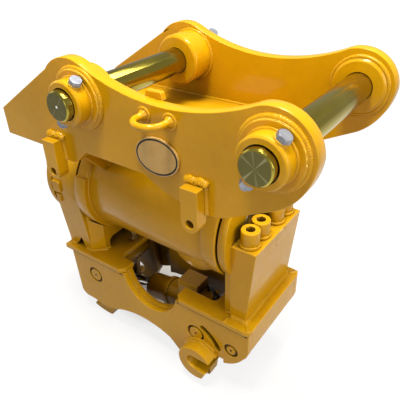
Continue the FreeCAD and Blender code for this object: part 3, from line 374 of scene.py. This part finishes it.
def enamel(name, rough=0.34, flow=1.0):
    """Golden-yellow machine enamel over cut and welded plate, with painted highlights along edges and painted
    shade in hollows.
    """
    s = Shader(name)
    broad = s.remap(s.noise(5.0, 3.0), 0.35, 0.65, 0.0, 1.0)
    colour = s.mix(broad, ENAMEL, ENAMEL_DEEP)
    fine = s.remap(s.noise(46.0, 4.0, 0.6), 0.42, 0.78, 0.0, 0.35)
    colour = s.mix(fine, colour, ENAMEL_FINE)
    # Paler patches on upward faces.
    pale_top = s.math("MULTIPLY", s.facing_up(), s.remap(s.noise(24.0, 5.0, 0.6), 0.35, 0.75, 0.0, 0.22))
    colour = s.mix(pale_top, colour, ENAMEL_PALE_TOP)
    # Painted highlight: a paler colour along sharp edges, in patches.
    highlight_patches = s.remap(s.noise(120.0, 3.0, 0.7), 0.40, 0.62, 0.30, 0.85)
    colour = s.mix(s.math("MULTIPLY", s.edge(0.0034), highlight_patches), colour, ENAMEL_EDGE_HIGHLIGHT)
    # Painted shade: darker brown near other faces, in bores, gaps and corners.
    recess_shade = s.math("MULTIPLY", s.cavity(0.10, 0.10, 0.60), 0.75)
    colour = s.mix(recess_shade, colour, ENAMEL_RECESS_SHADE)
    # Painted shade: dark brown where faces close in over a longer reach, deep inside the frame.
    deep_shade = s.math("MULTIPLY", s.cavity(0.32, 0.10, 0.34), 0.92)
    colour = s.mix(deep_shade, colour, ENAMEL_DEEP_SHADE)
    s.link(colour, s.body.inputs["Base Color"])
    gloss = s.remap(s.noise(15.0, 4.0, 0.6), 0.3, 0.7, rough - 0.06, rough + 0.10)
    s.link(gloss, s.body.inputs["Roughness"])
    s.set("Specular IOR Level", 0.10)
    s.set("Coat Weight", 0.36)
    s.set("Coat Roughness", 0.10)
    peel = s.bump(s.noise(520.0, 2.0), 0.10 * flow, 0.0004)
    roll = s.bump(s.noise(38.0, 3.0, 0.55), 0.16 * flow, 0.0012, peel)
    s.link(roll, s.body.inputs["Normal"])
    return s.mat


def turned_pin(name, centre, drilled):
    """Turned steel with yellow zinc passivation: dull olive end faces, polished golden shank."""
    s = Shader(name)
    patches = s.remap(s.noise(14.0, 3.0, 0.5, (1, 0.3, 1)), 0.36, 0.66, 0.0, 1.0)
    colour = s.mix(patches, PIN_SHANK, PIN_SHANK_DEEP)
    normal = s.axes(s.node("ShaderNodeNewGeometry").outputs["True Normal"])
    on_end = s.remap(s.math("ABSOLUTE", normal["Y"]), 0.9, 0.98, 0.0, 1.0)
    colour = s.mix(on_end, colour, PIN_END)
    distance = s.ring_distance(centre)
    place = s.axes(s.coord)
    across = s.math("SUBTRACT", place["X"], centre[0] * MM)
    rise = s.math("SUBTRACT", place["Z"], centre[1] * MM)
    # Painted highlight: bright streaks across the end faces at three fixed angles, standing for glints on
    # turned steel; fainter on the drilled pin.
    for turn, share in ((0.86, 0.34), (-0.62, 0.20), (1.75, 0.14)):
        off_line = s.math("SUBTRACT", s.math("MULTIPLY", rise, math.cos(turn)),
                          s.math("MULTIPLY", across, math.sin(turn)))
        ratio = s.math("DIVIDE", s.math("ABSOLUTE", off_line), s.math("ADD", distance, 0.0005))
        if drilled:
            share *= 0.35
        highlight_streak = s.math("MULTIPLY", on_end, s.remap(ratio, 0.0, 0.13, share, 0.0))
        colour = s.mix(highlight_streak, colour, PIN_END_HIGHLIGHT)
    # Painted shade and highlight of a centre-drilled hole: a dark disc with a white spot in its middle.
    if drilled:
        hole_shade = s.math("MULTIPLY", on_end, s.remap(distance, 0.0052, 0.0042, 0.0, 1.0))
        colour = s.mix(hole_shade, colour, CENTRE_HOLE_SHADE)
        hole_highlight = s.math("MULTIPLY", on_end, s.remap(distance, 0.0034, 0.0026, 0.0, 1.0))
        colour = s.mix(hole_highlight, colour, CENTRE_HOLE_HIGHLIGHT)
    s.link(colour, s.body.inputs["Base Color"])
    s.set("Metallic", 1.0)
    shank = s.remap(s.noise(30.0, 2.0, 0.5, (1, 0.4, 1)), 0.3, 0.7, 0.16, 0.24)
    dull = s.math("MULTIPLY", on_end, 0.22)
    s.link(s.math("ADD", shank, dull), s.body.inputs["Roughness"])
    rings = s.math("SINE", s.math("MULTIPLY", distance, 5200.0))
    s.link(s.bump(rings, 0.05, 0.0002), s.body.inputs["Normal"])
    return s.mat


def bare_metal(name, light, dark, rough, lines=(1, 1, 1), grain=160.0, bite=0.2):
    """Plated, ground or oiled steel with a directional grain."""
    s = Shader(name)
    patches = s.remap(s.noise(30.0, 4.0, 0.6), 0.35, 0.7, 0.0, 1.0)
    s.link(s.mix(patches, light, dark), s.body.inputs["Base Color"])
    s.set("Metallic", 1.0)
    gloss = s.remap(s.noise(60.0, 3.0, 0.6), 0.3, 0.7, rough - 0.05, rough + 0.10)
    s.link(gloss, s.body.inputs["Roughness"])
    s.link(s.bump(s.noise(grain, 3.0, 0.6, lines), bite, 0.0003), s.body.inputs["Normal"])
    return s.mat


def rubber(name, light, dark, rough=0.7):
    """Dull rubber, a glossier hose, or a matt dark brown that paints shade."""
    s = Shader(name)
    s.link(s.mix(s.noise(80.0), light, dark), s.body.inputs["Base Color"])
    s.set("Roughness", rough)
    s.link(s.bump(s.noise(300.0), 0.2, 0.0003), s.body.inputs["Normal"])
    return s.mat


def pale_plate(name):
    """Pale enamel ground of the oval plate."""
    s = Shader(name)
    blush = s.remap(s.noise(30.0, 4.0, 0.6), 0.35, 0.7, 0.0, 1.0)
    s.link(s.mix(blush, OVAL_PALE, OVAL_BLUSH), s.body.inputs["Base Color"])
    s.link(s.remap(s.noise(50.0, 3.0), 0.3, 0.7, 0.28, 0.42), s.body.inputs["Roughness"])
    s.link(s.bump(s.noise(420.0), 0.1, 0.0003), s.body.inputs["Normal"])
    return s.mat


PAINT = enamel("golden_enamel")
WELD_PAINT = enamel("golden_enamel_on_welds", rough=0.30, flow=0.6)
LEFT_PIN_METAL = turned_pin("left_pin_passivated", LEFT_PIN, True)
RIGHT_PIN_METAL = turned_pin("right_pin_passivated", RIGHT_PIN, False)
ZINC = bare_metal("bright_zinc", linear(166, 170, 180), linear(124, 128, 140), 0.60)
YELLOW_ZINC = bare_metal("yellow_zinc", linear(176, 148, 96), linear(142, 116, 70), 0.34)
HOSE = rubber("pressure_hose", linear(40, 38, 34), linear(26, 25, 24), 0.22)
# Dull dark brown for the strips and rings that paint shade in seams and grooves
PAINTED_SHADE = rubber("painted_shade_brown", linear(84, 58, 16), linear(62, 42, 12))
CHROME = bare_metal("ground_chrome", linear(214, 214, 216), linear(196, 197, 200), 0.10,
                    (1, 60, 60), 20.0, 0.05)
OXIDE = bare_metal("black_oxide", linear(52, 52, 54), linear(34, 34, 36), 0.42)
MACHINED = bare_metal("machined_steel", linear(150, 150, 152), linear(124, 124, 126), 0.30,
                      (90, 1, 1), 9.0)
BRONZE = bare_metal("turned_bronze", linear(196, 150, 84), linear(170, 122, 62), 0.30,
                    (90, 1, 1), 9.0)
RUBBER = rubber("seal_rubber", linear(44, 43, 42), linear(30, 30, 30))
PLATE = pale_plate("plain_oval_ground")

FINISH = {
    "left_hitch_pin": LEFT_PIN_METAL,
    "right_hitch_pin": RIGHT_PIN_METAL,
    "cross_bolts": ZINC,
    "cross_nuts": ZINC,
    "hose_fitting": YELLOW_ZINC,
    "lock_rod": CHROME,
    "lever_pin": CHROME,
    "rod_gland": OXIDE,
    "splined_sleeve": MACHINED,
    "actuator_shaft": MACHINED,
    "left_bearing": BRONZE,
    "right_bearing": BRONZE,
    "shaft_seals": RUBBER,
    "oval_plate": PLATE,
}


def ease(obj, width, segments=3):
    """Rounds the sharp edges of a piece."""
    bevel = obj.modifiers.new("eased_edges", "BEVEL")
    bevel.width = width
    bevel.segments = segments
    bevel.harden_normals = True
    return bevel


def dress_nodes():
    """Materials and eased edges for every solid of the part."""
    for name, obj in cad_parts.items():
        obj.data.materials.clear()
        obj.data.materials.append(FINISH.get(name, PAINT))
        weld = obj.modifiers.new("join_seams", "WELD")
        weld.merge_threshold = SAME_POINT
        flat = obj.modifiers.new("flat_faces", "DECIMATE")
        flat.decimate_type = "DISSOLVE"
        flat.angle_limit = math.radians(FLAT_WITHIN)
        bevel = ease(obj, EDGE_EASE, 2)
        bevel.limit_method = "ANGLE"
        bevel.angle_limit = math.radians(EDGE_ANGLE)
        bevel.use_clamp_overlap = True


# Pieces made from vertices

def add_piece(name, verts, faces, material, body, smooth=True):
    """Makes a piece from vertices in millimetres and lets it ride a body."""
    mesh = bpy.data.meshes.new(name)
    mesh.from_pydata([tuple(c * MM for c in v) for v in verts], [], faces)
    mesh.validate()
    mesh.materials.append(material)
    for polygon in mesh.polygons:
        polygon.use_smooth = smooth
    obj = bpy.data.objects.new(name, mesh)
    bpy.context.scene.collection.objects.link(obj)
    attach(obj, body)
    return obj


def round_about(centre, radius, y, sides):
    """Points on a circle about a Y axis through centre."""
    points = []
    for k in range(sides):
        angle = FULL_TURN * k / sides
        points.append((centre[0] + radius * math.cos(angle), y, centre[1] + radius * math.sin(angle)))
    return points


def skin(faces, first, rings, sides, around=False, flip=False):
    """Adds quads between rings of vertices; around also joins the last ring to the first.

    flip turns the faces over, where the rings run the other way round.
    """
    for k in range(rings if around else rings - 1):
        a = first + k * sides
        b = first + ((k + 1) % rings) * sides
        for m in range(sides):
            n = (m + 1) % sides
            if flip:
                faces.append((a + n, a + m, b + m, b + n))
            else:
                faces.append((a + m, a + n, b + n, b + m))


def caps(faces, first, rings, sides, flip=False):
    """Adds the two end faces of a stack of rings."""
    last = first + (rings - 1) * sides
    start = tuple(first + m for m in range(sides))
    end = tuple(last + m for m in range(sides))
    faces.append(start if flip else start[::-1])
    faces.append(end[::-1] if flip else end)


def extruded(outline, y0, y1):
    """Vertices and faces of an X-Z outline, anticlockwise seen from -Y, drawn out along Y."""
    count = len(outline)
    verts = [(x, y, z) for y in sorted((y0, y1)) for x, z in outline]
    faces = []
    caps(faces, 0, 2, count, flip=True)
    skin(faces, 0, 2, count, flip=True)
    return verts, faces


class Beads:
    """Gathers weld beads into one piece."""

    def __init__(self):
        self.verts = []
        self.faces = []

    def run(self, path, ups, radius, closed=False, sides=8, crown=1.0, ripple=1.0):
        """A rippled bead along path; ups says which way the bead faces at each point."""
        points, facing, walked = resample(path, ups, PITCH / 3.0, closed)
        count = len(points)
        first = len(self.verts)
        phase = random.random() * 6.28
        for k in range(count):
            before = points[k - 1] if (closed or k > 0) else points[k]
            after = points[(k + 1) % count] if (closed or k < count - 1) else points[k]
            along = (after - before).normalized()
            up = (facing[k] - along * facing[k].dot(along)).normalized()
            side = along.cross(up)
            wave = math.sin(walked[k] / PITCH * FULL_TURN + phase)
            slow = (math.sin(walked[k] / SLOW_LENGTHS[0] + phase)
                    + 0.6 * math.sin(walked[k] / SLOW_LENGTHS[1] + 2.0 * phase))
            jitter = random.uniform(-JITTER, JITTER)
            size = radius * (1.0 + ripple * (RIPPLE_SHARE * wave + SLOW_SHARE * slow + jitter))
            if not closed and ripple > 0:
                from_end = min(k, count - 1 - k)
                size *= min(1.0, END_SHARE + END_GROWTH * from_end)
            for m in range(sides):
                angle = FULL_TURN * m / sides
                lag = ripple * RIPPLE_LAG * PITCH * math.cos(angle)
                self.verts.append(points[k] + up * (crown * size * math.cos(angle))
                                  + side * (size * math.sin(angle)) + along * lag)
        skin(self.faces, first, count, sides, around=closed)
        if not closed:
            caps(self.faces, first, count, sides)

    def line(self, start, end, up, radius, crown=1.0):
        """Straight bead."""
        self.corners([start, end], [up] * 2, radius, crown)

    def corners(self, path, ups, radius, crown=1.0):
        """Bead along a path with corners."""
        self.run([Vector(p) for p in path], [Vector(u) for u in ups], radius, crown=crown)

    def arc(self, centre, across, rise, ring, face, radius, start, end):
        """Bead on an arc; across and rise span its plane, face is the plate's free side."""
        closed = end - start > 359.9
        path, ups = [], []
        for k in range(ARC_STEPS if closed else ARC_STEPS + 1):
            angle = math.radians(start + (end - start) * k / ARC_STEPS)
            out = Vector(across) * math.cos(angle) + Vector(rise) * math.sin(angle)
            path.append(Vector(centre) + out * ring)
            ups.append(out + Vector(face))
        self.run(path, ups, radius, closed)

    def circle_y(self, centre, y, ring, face, radius, start=0.0, end=360.0):
        """Bead round a Y axis, in the corner of a boss and a plate that faces the side face."""
        self.arc((centre[0], y, centre[1]), (1, 0, 0), (0, 0, 1), ring, (0, face, 0), radius, start, end)

    def circle_x(self, x, ring, face, radius, start=0.0, end=360.0):
        """The same round the tilt axis; angles start at +Y and rise toward +Z."""
        self.arc((x, 0, TILT_Z), (0, 1, 0), (0, 0, 1), ring, (face, 0, 0), radius, start, end)

    def finish(self, name, body):
        """Makes the gathered beads one painted piece."""
        return add_piece(name, self.verts, self.faces, WELD_PAINT, body)


def resample(path, ups, step, closed):
    """Evenly spaced points along a path, with the facing turned along with them."""
    stops = list(path) + ([path[0]] if closed else [])
    faces = list(ups) + ([ups[0]] if closed else [])
    lengths = [(stops[k + 1] - stops[k]).length for k in range(len(stops) - 1)]
    total = sum(lengths)
    count = max(4, int(total / step))
    points, facing, walked = [], [], []
    leg, used = 0, 0.0
    last = count if closed else count - 1
    for k in range(count):
        want = total * k / last
        while leg < len(lengths) - 1 and want > used + lengths[leg]:
            used += lengths[leg]
            leg += 1
        share = min(1.0, (want - used) / lengths[leg])
        points.append(stops[leg].lerp(stops[leg + 1], share))
        facing.append(faces[leg].lerp(faces[leg + 1], share))
        walked.append(want)
    return points, facing, walked


def bracket_beads(weld, x, foot, side):
    """Beads down both edges of a hanging bracket, and the heavy one over its top."""
    y = side * EAR_OUT_Y
    left, right = x - BRACKET_HALF, x + BRACKET_HALF
    left_top, right_top = BRACKET_EDGE_TOPS
    weld.corners([(left, y, foot), (left, y, left_top)], [(-1, side, 0), (-1, side, 0.2)], FILLET)
    weld.corners([(right, y, right_top), (right, y, foot)], [(1, side, 0.2), (1, side, 0)],
                 BRACKET_BEAD_RIGHT)
    crest = [(x + along, y, z) for along, z in BRACKET_CREST]
    leans = [(lean, side, 1) for lean in (-0.3, 0, 0, 0, 0.3)]
    weld.corners(crest, leans, BRACKET_TOP_BEAD)


def head_welds():
    """Beads on the ears, bushes, brackets, deck, webs and tube."""
    bush = Beads()
    for side in (-1, 1):
        for centre in PINS:
            bush.circle_y(centre, side * EAR_OUT_Y, BUSH_R, side, BUSH_BEAD_OUT)
            bush.circle_y(centre, side * EAR_IN_Y, BUSH_R, -side, BUSH_BEAD_IN)
    bush.finish("bush_welds", "upper_head")
    plate = Beads()
    deck_low, deck_top = DECK_Z
    deck_left, deck_right = DECK_X
    for side in (-1, 1):
        for centre in PINS:
            plate.circle_y(centre, side * BUSH_OUT_Y, COLLAR_R, side, COLLAR_BEAD)
        for x, foot in BRACKETS:
            bracket_beads(plate, x, foot, side)
        inner = side * EAR_IN_Y
        plate.line((deck_left, inner, deck_top), (deck_right, inner, deck_top), (0, -side, 1), FILLET)
        plate.line((deck_left, inner, deck_low), (DECK_UNDER_BEAD_END, inner, deck_low),
                   (0, -side, -1), FILLET)
        for x in SADDLE_X:
            for face in (-1, 1):
                at = x + face * SADDLE_HALF
                foot, head = SADDLE_SIDE_Z
                plate.line((at, inner, foot), (at, inner, head), (face, -side, 0), FILLET)
    for x in SADDLE_X:
        for face in (-1, 1):
            at = x + face * SADDLE_HALF
            plate.line((at, -SADDLE_REACH, deck_low), (at, SADDLE_REACH, deck_low), (face, 0, -1), FILLET)
            plate.circle_x(at, TUBE_R, face, TUBE_BEAD, *SADDLE_ARC)
    for x, face in zip(TUBE_ENDS_X, (1, -1)):
        plate.circle_x(x, TUBE_R, face, END_BEAD)
    for x in LOOP_X:
        plate.circle_y((x, LOOP_Z), -EAR_OUT_Y, LOOP_R, -1, LOOP_BEAD)
    plate.finish("head_welds", "upper_head")


def upright_beads(weld, side, top):
    """Beads round the feet of the rear cap, the left upright and the port block."""
    base = side * FOOT_HALF
    narrow = side * FOOT_NARROW_HALF
    cap_left, cap_right = CAP_FOOT_X
    weld.line((cap_left, base, top), (cap_right, base, top), (0, side, 1), CAP_BEAD)
    left, corner, right = UPRIGHT_FOOT_X
    outline = [(left, base, top), (corner, base, top),
               (right, side * UPRIGHT_CORNER_HALF, top), (right, narrow, top)]
    weld.corners(outline, [(0, side, 1), (0.3, side, 1), (1, 0.4 * side, 1), (1, 0, 1)],
                 UPRIGHT_BEAD, FLAT_CROWN)
    weld.line((cap_left, narrow, top), (cap_left, base, top), (-1, 0, 1), CAP_BEAD)
    left, right = BLOCK_FOOT_X
    block = side * BLOCK_HALF
    weld.corners([(left, block, top), (right, block, top), (right, 0, top)],
                 [(0, side, 1), (0.7, 0.7 * side, 1), (1, 0, 1)], BLOCK_BEAD, FLAT_CROWN)


def plate_beads(weld, side, top):
    """Seams across the top plates, and the beads that join them to the side plates."""
    for (x0, y0), (x1, y1) in TOP_SEAMS:
        weld.line((x0, side * y0, top), (x1, side * y1, top), (0, 0, 1), THIN_FILLET, SEAM_CROWN)
    (left, right), half = FOOT_BLOCK_EDGE
    weld.line((left, side * half, top), (right, side * half, top), (0, side, 1), FILLET)
    left, right = SIDE_BEAD_X
    low, high = SIDE_BEAD_Z
    inner = side * SIDE_IN_Y
    weld.line((left, inner, PLATE_Z[0]), (right, inner, PLATE_Z[0]), (0, -side, -1), THIN_FILLET)
    weld.line((left, inner, low), (left, inner, high), (1, -side, 0), THIN_FILLET)
    weld.circle_y(JAW, side * SIDE_OUT_Y, JAW_COLLAR_R, side, THIN_FILLET, *JAW_ARC)


def frame_welds():
    """Beads on the hitch frame."""
    weld = Beads()
    low, top = PLATE_Z
    for side in (-1, 1):
        upright_beads(weld, side, top)
        plate_beads(weld, side, top)
    left, right = LINER_X
    for face in LINER_FACES:
        toward = -1 if face > 0 else 1
        weld.line((left, face, low), (right, face, low), (0, toward, -1), THIN_FILLET)
    weld.line((TOP_EDGE_X, -TOP_EDGE_HALF, top), (TOP_EDGE_X, TOP_EDGE_HALF, top), (-1, 0, 1), FILLET)
    weld.finish("frame_welds", "hitch_frame")


def hook_welds():
    """Beads round the hook tube, at the claws and at the lever's cheeks."""
    weld = Beads()
    for side in (-1, 1):
        weld.circle_y(HOOK_PIN, side * CLAW_IN_Y, HOOK_TUBE_R, -side, CLAW_BEAD)
        for y, face in zip(CHEEK_FACES, (-side, side)):
            weld.circle_y(HOOK_PIN, side * y, HOOK_TUBE_R, face, CHEEK_BEAD, *CHEEK_ARC)
    weld.finish("hook_welds", "lock_hook")


# Small fittings

def small_fittings():
    """Pads, lugs, hose, plug, dark strips and rings that paint shade, and the oval plate's line."""
    for name, outline, (y0, y1), body, width in SMALL_PLATES:
        verts, faces = extruded(outline, y0, y1)
        ease(add_piece(name, verts, faces, PAINT, body, smooth=False), width)
    barrel_hose()
    barrel_plug()
    for side, label in ((-1, "near"), (1, "far")):
        seam_shadow(side, label)
    for side, label in ((-1, "near"), (1, "far")):
        groove_shade_rings(side, label)
    oval_line()


def barrel_hose():
    """Short pressure hose on top of the lock cylinder's barrel."""
    stops = [Vector(point) for point in HOSE_BEND]
    last = len(stops) - 1
    smooth = []
    for k in range(last):
        before, start, end, after = stops[max(0, k - 1)], stops[k], stops[k + 1], stops[min(last, k + 2)]
        for step in range(HOSE_STEPS):
            t = step / HOSE_STEPS
            point = 0.5 * (2 * start + (end - before) * t + (2 * before - 5 * start + 4 * end - after) * t * t
                           + (3 * start - before - 3 * end + after) * t * t * t)
            smooth.append(point)
    smooth.append(stops[last])
    hose = Beads()
    hose.run(smooth, [Vector(HOSE_UP)] * len(smooth), HOSE_R, sides=16, ripple=0.0)
    add_piece("barrel_hose", hose.verts, hose.faces, HOSE, "hitch_frame")


def barrel_plug():
    """Hexagonal plug beside the hose."""
    sides = 6
    verts, faces = [], []
    for z, radius in PLUG_RINGS:
        for k in range(sides):
            angle = FULL_TURN * k / sides + PLUG_TURN
            verts.append((PLUG_AT[0] + radius * math.cos(angle), PLUG_AT[1] + radius * math.sin(angle), z))
    caps(faces, 0, len(PLUG_RINGS), sides)
    skin(faces, 0, len(PLUG_RINGS), sides)
    add_piece("barrel_plug", verts, faces, ZINC, "hitch_frame", False)


def seam_shadow(side, label):
    """Dark strips on a side plate just under the top plates, painted as the shadow in the seams between them.
    """
    low, high = SEAM_Z
    verts, faces = [], []
    for x0, x1 in SEAM_RUNS:
        strip, cells = extruded([(x0, low), (x1, low), (x1, high), (x0, high)],
                                side * (SIDE_OUT_Y - SEAM_SINK), side * (SIDE_OUT_Y + SEAM_STAND))
        first = len(verts)
        verts.extend(strip)
        faces.extend(tuple(first + k for k in cell) for cell in cells)
    add_piece(label + "_seam_shadow", verts, faces, PAINTED_SHADE, "hitch_frame", False)


def groove_shade_rings(side, label):
    """Dark rings painted as the shade in the grooves round the side pins, and dark discs painted as the shade
    in the pins' centre marks.
    """
    steps = 48
    verts, faces = [], []
    floor = side * (SIDE_OUT_Y - GROOVE_FLOOR)
    crest = side * (SIDE_OUT_Y - SHADE_CREST)
    for centre, inner, outer in SHADE_RINGS:
        first = len(verts)
        section = ((inner, floor), (inner, crest), (outer, crest), (outer, floor))
        circles = [round_about(centre, radius, y, steps) for radius, y in section]
        for k in range(steps):
            verts.extend(circle[k] for circle in circles)
        skin(faces, first, steps, len(section), around=True, flip=side > 0)
    sides = 12
    for ring in SHADE_RINGS:
        first = len(verts)
        for stand in (-MARK_STAND, MARK_STAND):
            verts.extend(round_about(ring[0], MARK_R, side * (SIDE_OUT_Y + stand), sides))
        caps(faces, first, 2, sides, flip=side > 0)
        skin(faces, first, 2, sides, flip=side > 0)
    add_piece(label + "_groove_shade_rings", verts, faces, PAINTED_SHADE, "hitch_frame")


def oval_line():
    """Thin line let into the oval plate, just inside its edge."""
    steps, sides = 96, 6
    lean = math.radians(OVAL_LEAN)
    verts, faces = [], []
    for k in range(steps):
        angle = FULL_TURN * k / steps
        for m in range(sides):
            turn = FULL_TURN * m / sides
            grow = OVAL_LINE_HALF * math.cos(turn)
            x = (OVAL_LINE[0] + grow) * math.cos(angle)
            z = (OVAL_LINE[1] + grow) * math.sin(angle)
            verts.append((OVAL_AT[0] + x * math.cos(lean) - z * math.sin(lean),
                          -EAR_OUT_Y - OVAL_THICK - OVAL_LINE_RISE * math.sin(turn),
                          OVAL_AT[1] + x * math.sin(lean) + z * math.cos(lean)))
    skin(faces, 0, steps, sides, around=True, flip=True)
    add_piece("oval_plate_rim", verts, faces, OXIDE, "upper_head")


# Surroundings

def pale_floor():
    """Matt floor that keeps the shadow and is white to the camera, less so under the part."""
    mesh = bpy.data.meshes.new("pale_floor")
    corners = [(FLOOR_HALF * x, FLOOR_HALF * y, 0) for x, y in ((-1, -1), (1, -1), (1, 1), (-1, 1))]
    mesh.from_pydata(corners, [], [(0, 1, 2, 3)])
    floor = bpy.data.objects.new("pale_floor", mesh)
    bpy.context.scene.collection.objects.link(floor)
    s = Shader("pale_floor")
    path = s.node("ShaderNodeLightPath").outputs
    s.link(s.mix(path["Is Diffuse Ray"], FLOOR_TONE, FLOOR_BOUNCE), s.body.inputs["Base Color"])
    s.set("Roughness", 0.9)
    glow = s.node("ShaderNodeEmission")
    glow.inputs["Strength"].default_value = FLOOR_GLOW
    mirrored = s.math("MULTIPLY", path["Is Glossy Ray"], FLOOR_IN_GLOSS)
    seen = s.math("MAXIMUM", path["Is Camera Ray"], mirrored)
    far_off = s.remap(s.distance_to((0, 0, 0)), 0.45, 1.50, 0.76, 1.0)
    beside = s.remap(s.distance_to(UNDER_PART), 0.10, 0.25, 0.10, 1.0)
    share = s.math("MULTIPLY", seen, s.math("MULTIPLY", far_off, beside))
    mixer = s.node("ShaderNodeMixShader")
    s.link(share, mixer.inputs["Fac"])
    s.link(s.body.outputs["BSDF"], mixer.inputs[1])
    s.link(glow.outputs["Emission"], mixer.inputs[2])
    s.link(mixer.outputs[0], s.tree.nodes["Material Output"].inputs["Surface"])
    mesh.materials.append(s.mat)


def studio_world():
    """Soft even light; reflections see it a little brighter and the camera sees white."""
    world = bpy.data.worlds.new("studio")
    world.use_nodes = True
    bpy.context.scene.world = world
    nodes = world.node_tree.nodes
    links = world.node_tree.links
    path = nodes.new("ShaderNodeLightPath").outputs
    shown = nodes["Background"]
    shown.inputs["Color"].default_value, shown.inputs["Strength"].default_value = WORLD_LIGHT
    for ray, (colour, strength) in (("Is Glossy Ray", WORLD_IN_GLOSS), ("Is Camera Ray", WORLD_TO_CAMERA)):
        light = nodes.new("ShaderNodeBackground")
        light.inputs["Color"].default_value = colour
        light.inputs["Strength"].default_value = strength
        choice = nodes.new("ShaderNodeMixShader")
        links.new(path[ray], choice.inputs["Fac"])
        links.new(shown.outputs[0], choice.inputs[1])
        links.new(light.outputs[0], choice.inputs[2])
        shown = choice
    links.new(shown.outputs[0], nodes["World Output"].inputs["Surface"])


def lamps():
    """Rectangular soft lamps that all face the middle of the part."""
    for name, place, (width, depth), power in LAMPS:
        light = bpy.data.lights.new(name, "AREA")
        light.shape = "RECTANGLE"
        light.size = width
        light.size_y = depth
        light.energy = power
        light.color = LAMP_COLOUR
        obj = bpy.data.objects.new(name, light)
        bpy.context.scene.collection.objects.link(obj)
        obj.location = place
        obj.rotation_mode = "QUATERNION"
        obj.rotation_quaternion = (Vector(LAMP_TARGET) - Vector(place)).to_track_quat("-Z", "Y")


def camera():
    """The photo's point of view."""
    data = bpy.data.cameras.new("photo_view")
    data.sensor_width = SENSOR
    data.lens = FOCAL / FRAME * SENSOR
    obj = bpy.data.objects.new("photo_view", data)
    bpy.context.scene.collection.objects.link(obj)
    turn = Matrix((Vector(CAMERA_RIGHT), -Vector(CAMERA_DOWN), -Vector(CAMERA_AHEAD))).transposed()
    obj.matrix_world = Matrix.Translation(CAMERA_AT) @ turn.to_4x4()
    bpy.context.scene.camera = obj


bpy.context.scene.view_settings.view_transform = "Standard"
dress_nodes()
head_welds()
frame_welds()
hook_welds()
small_fittings()
pale_floor()
studio_world()
lamps()
camera()
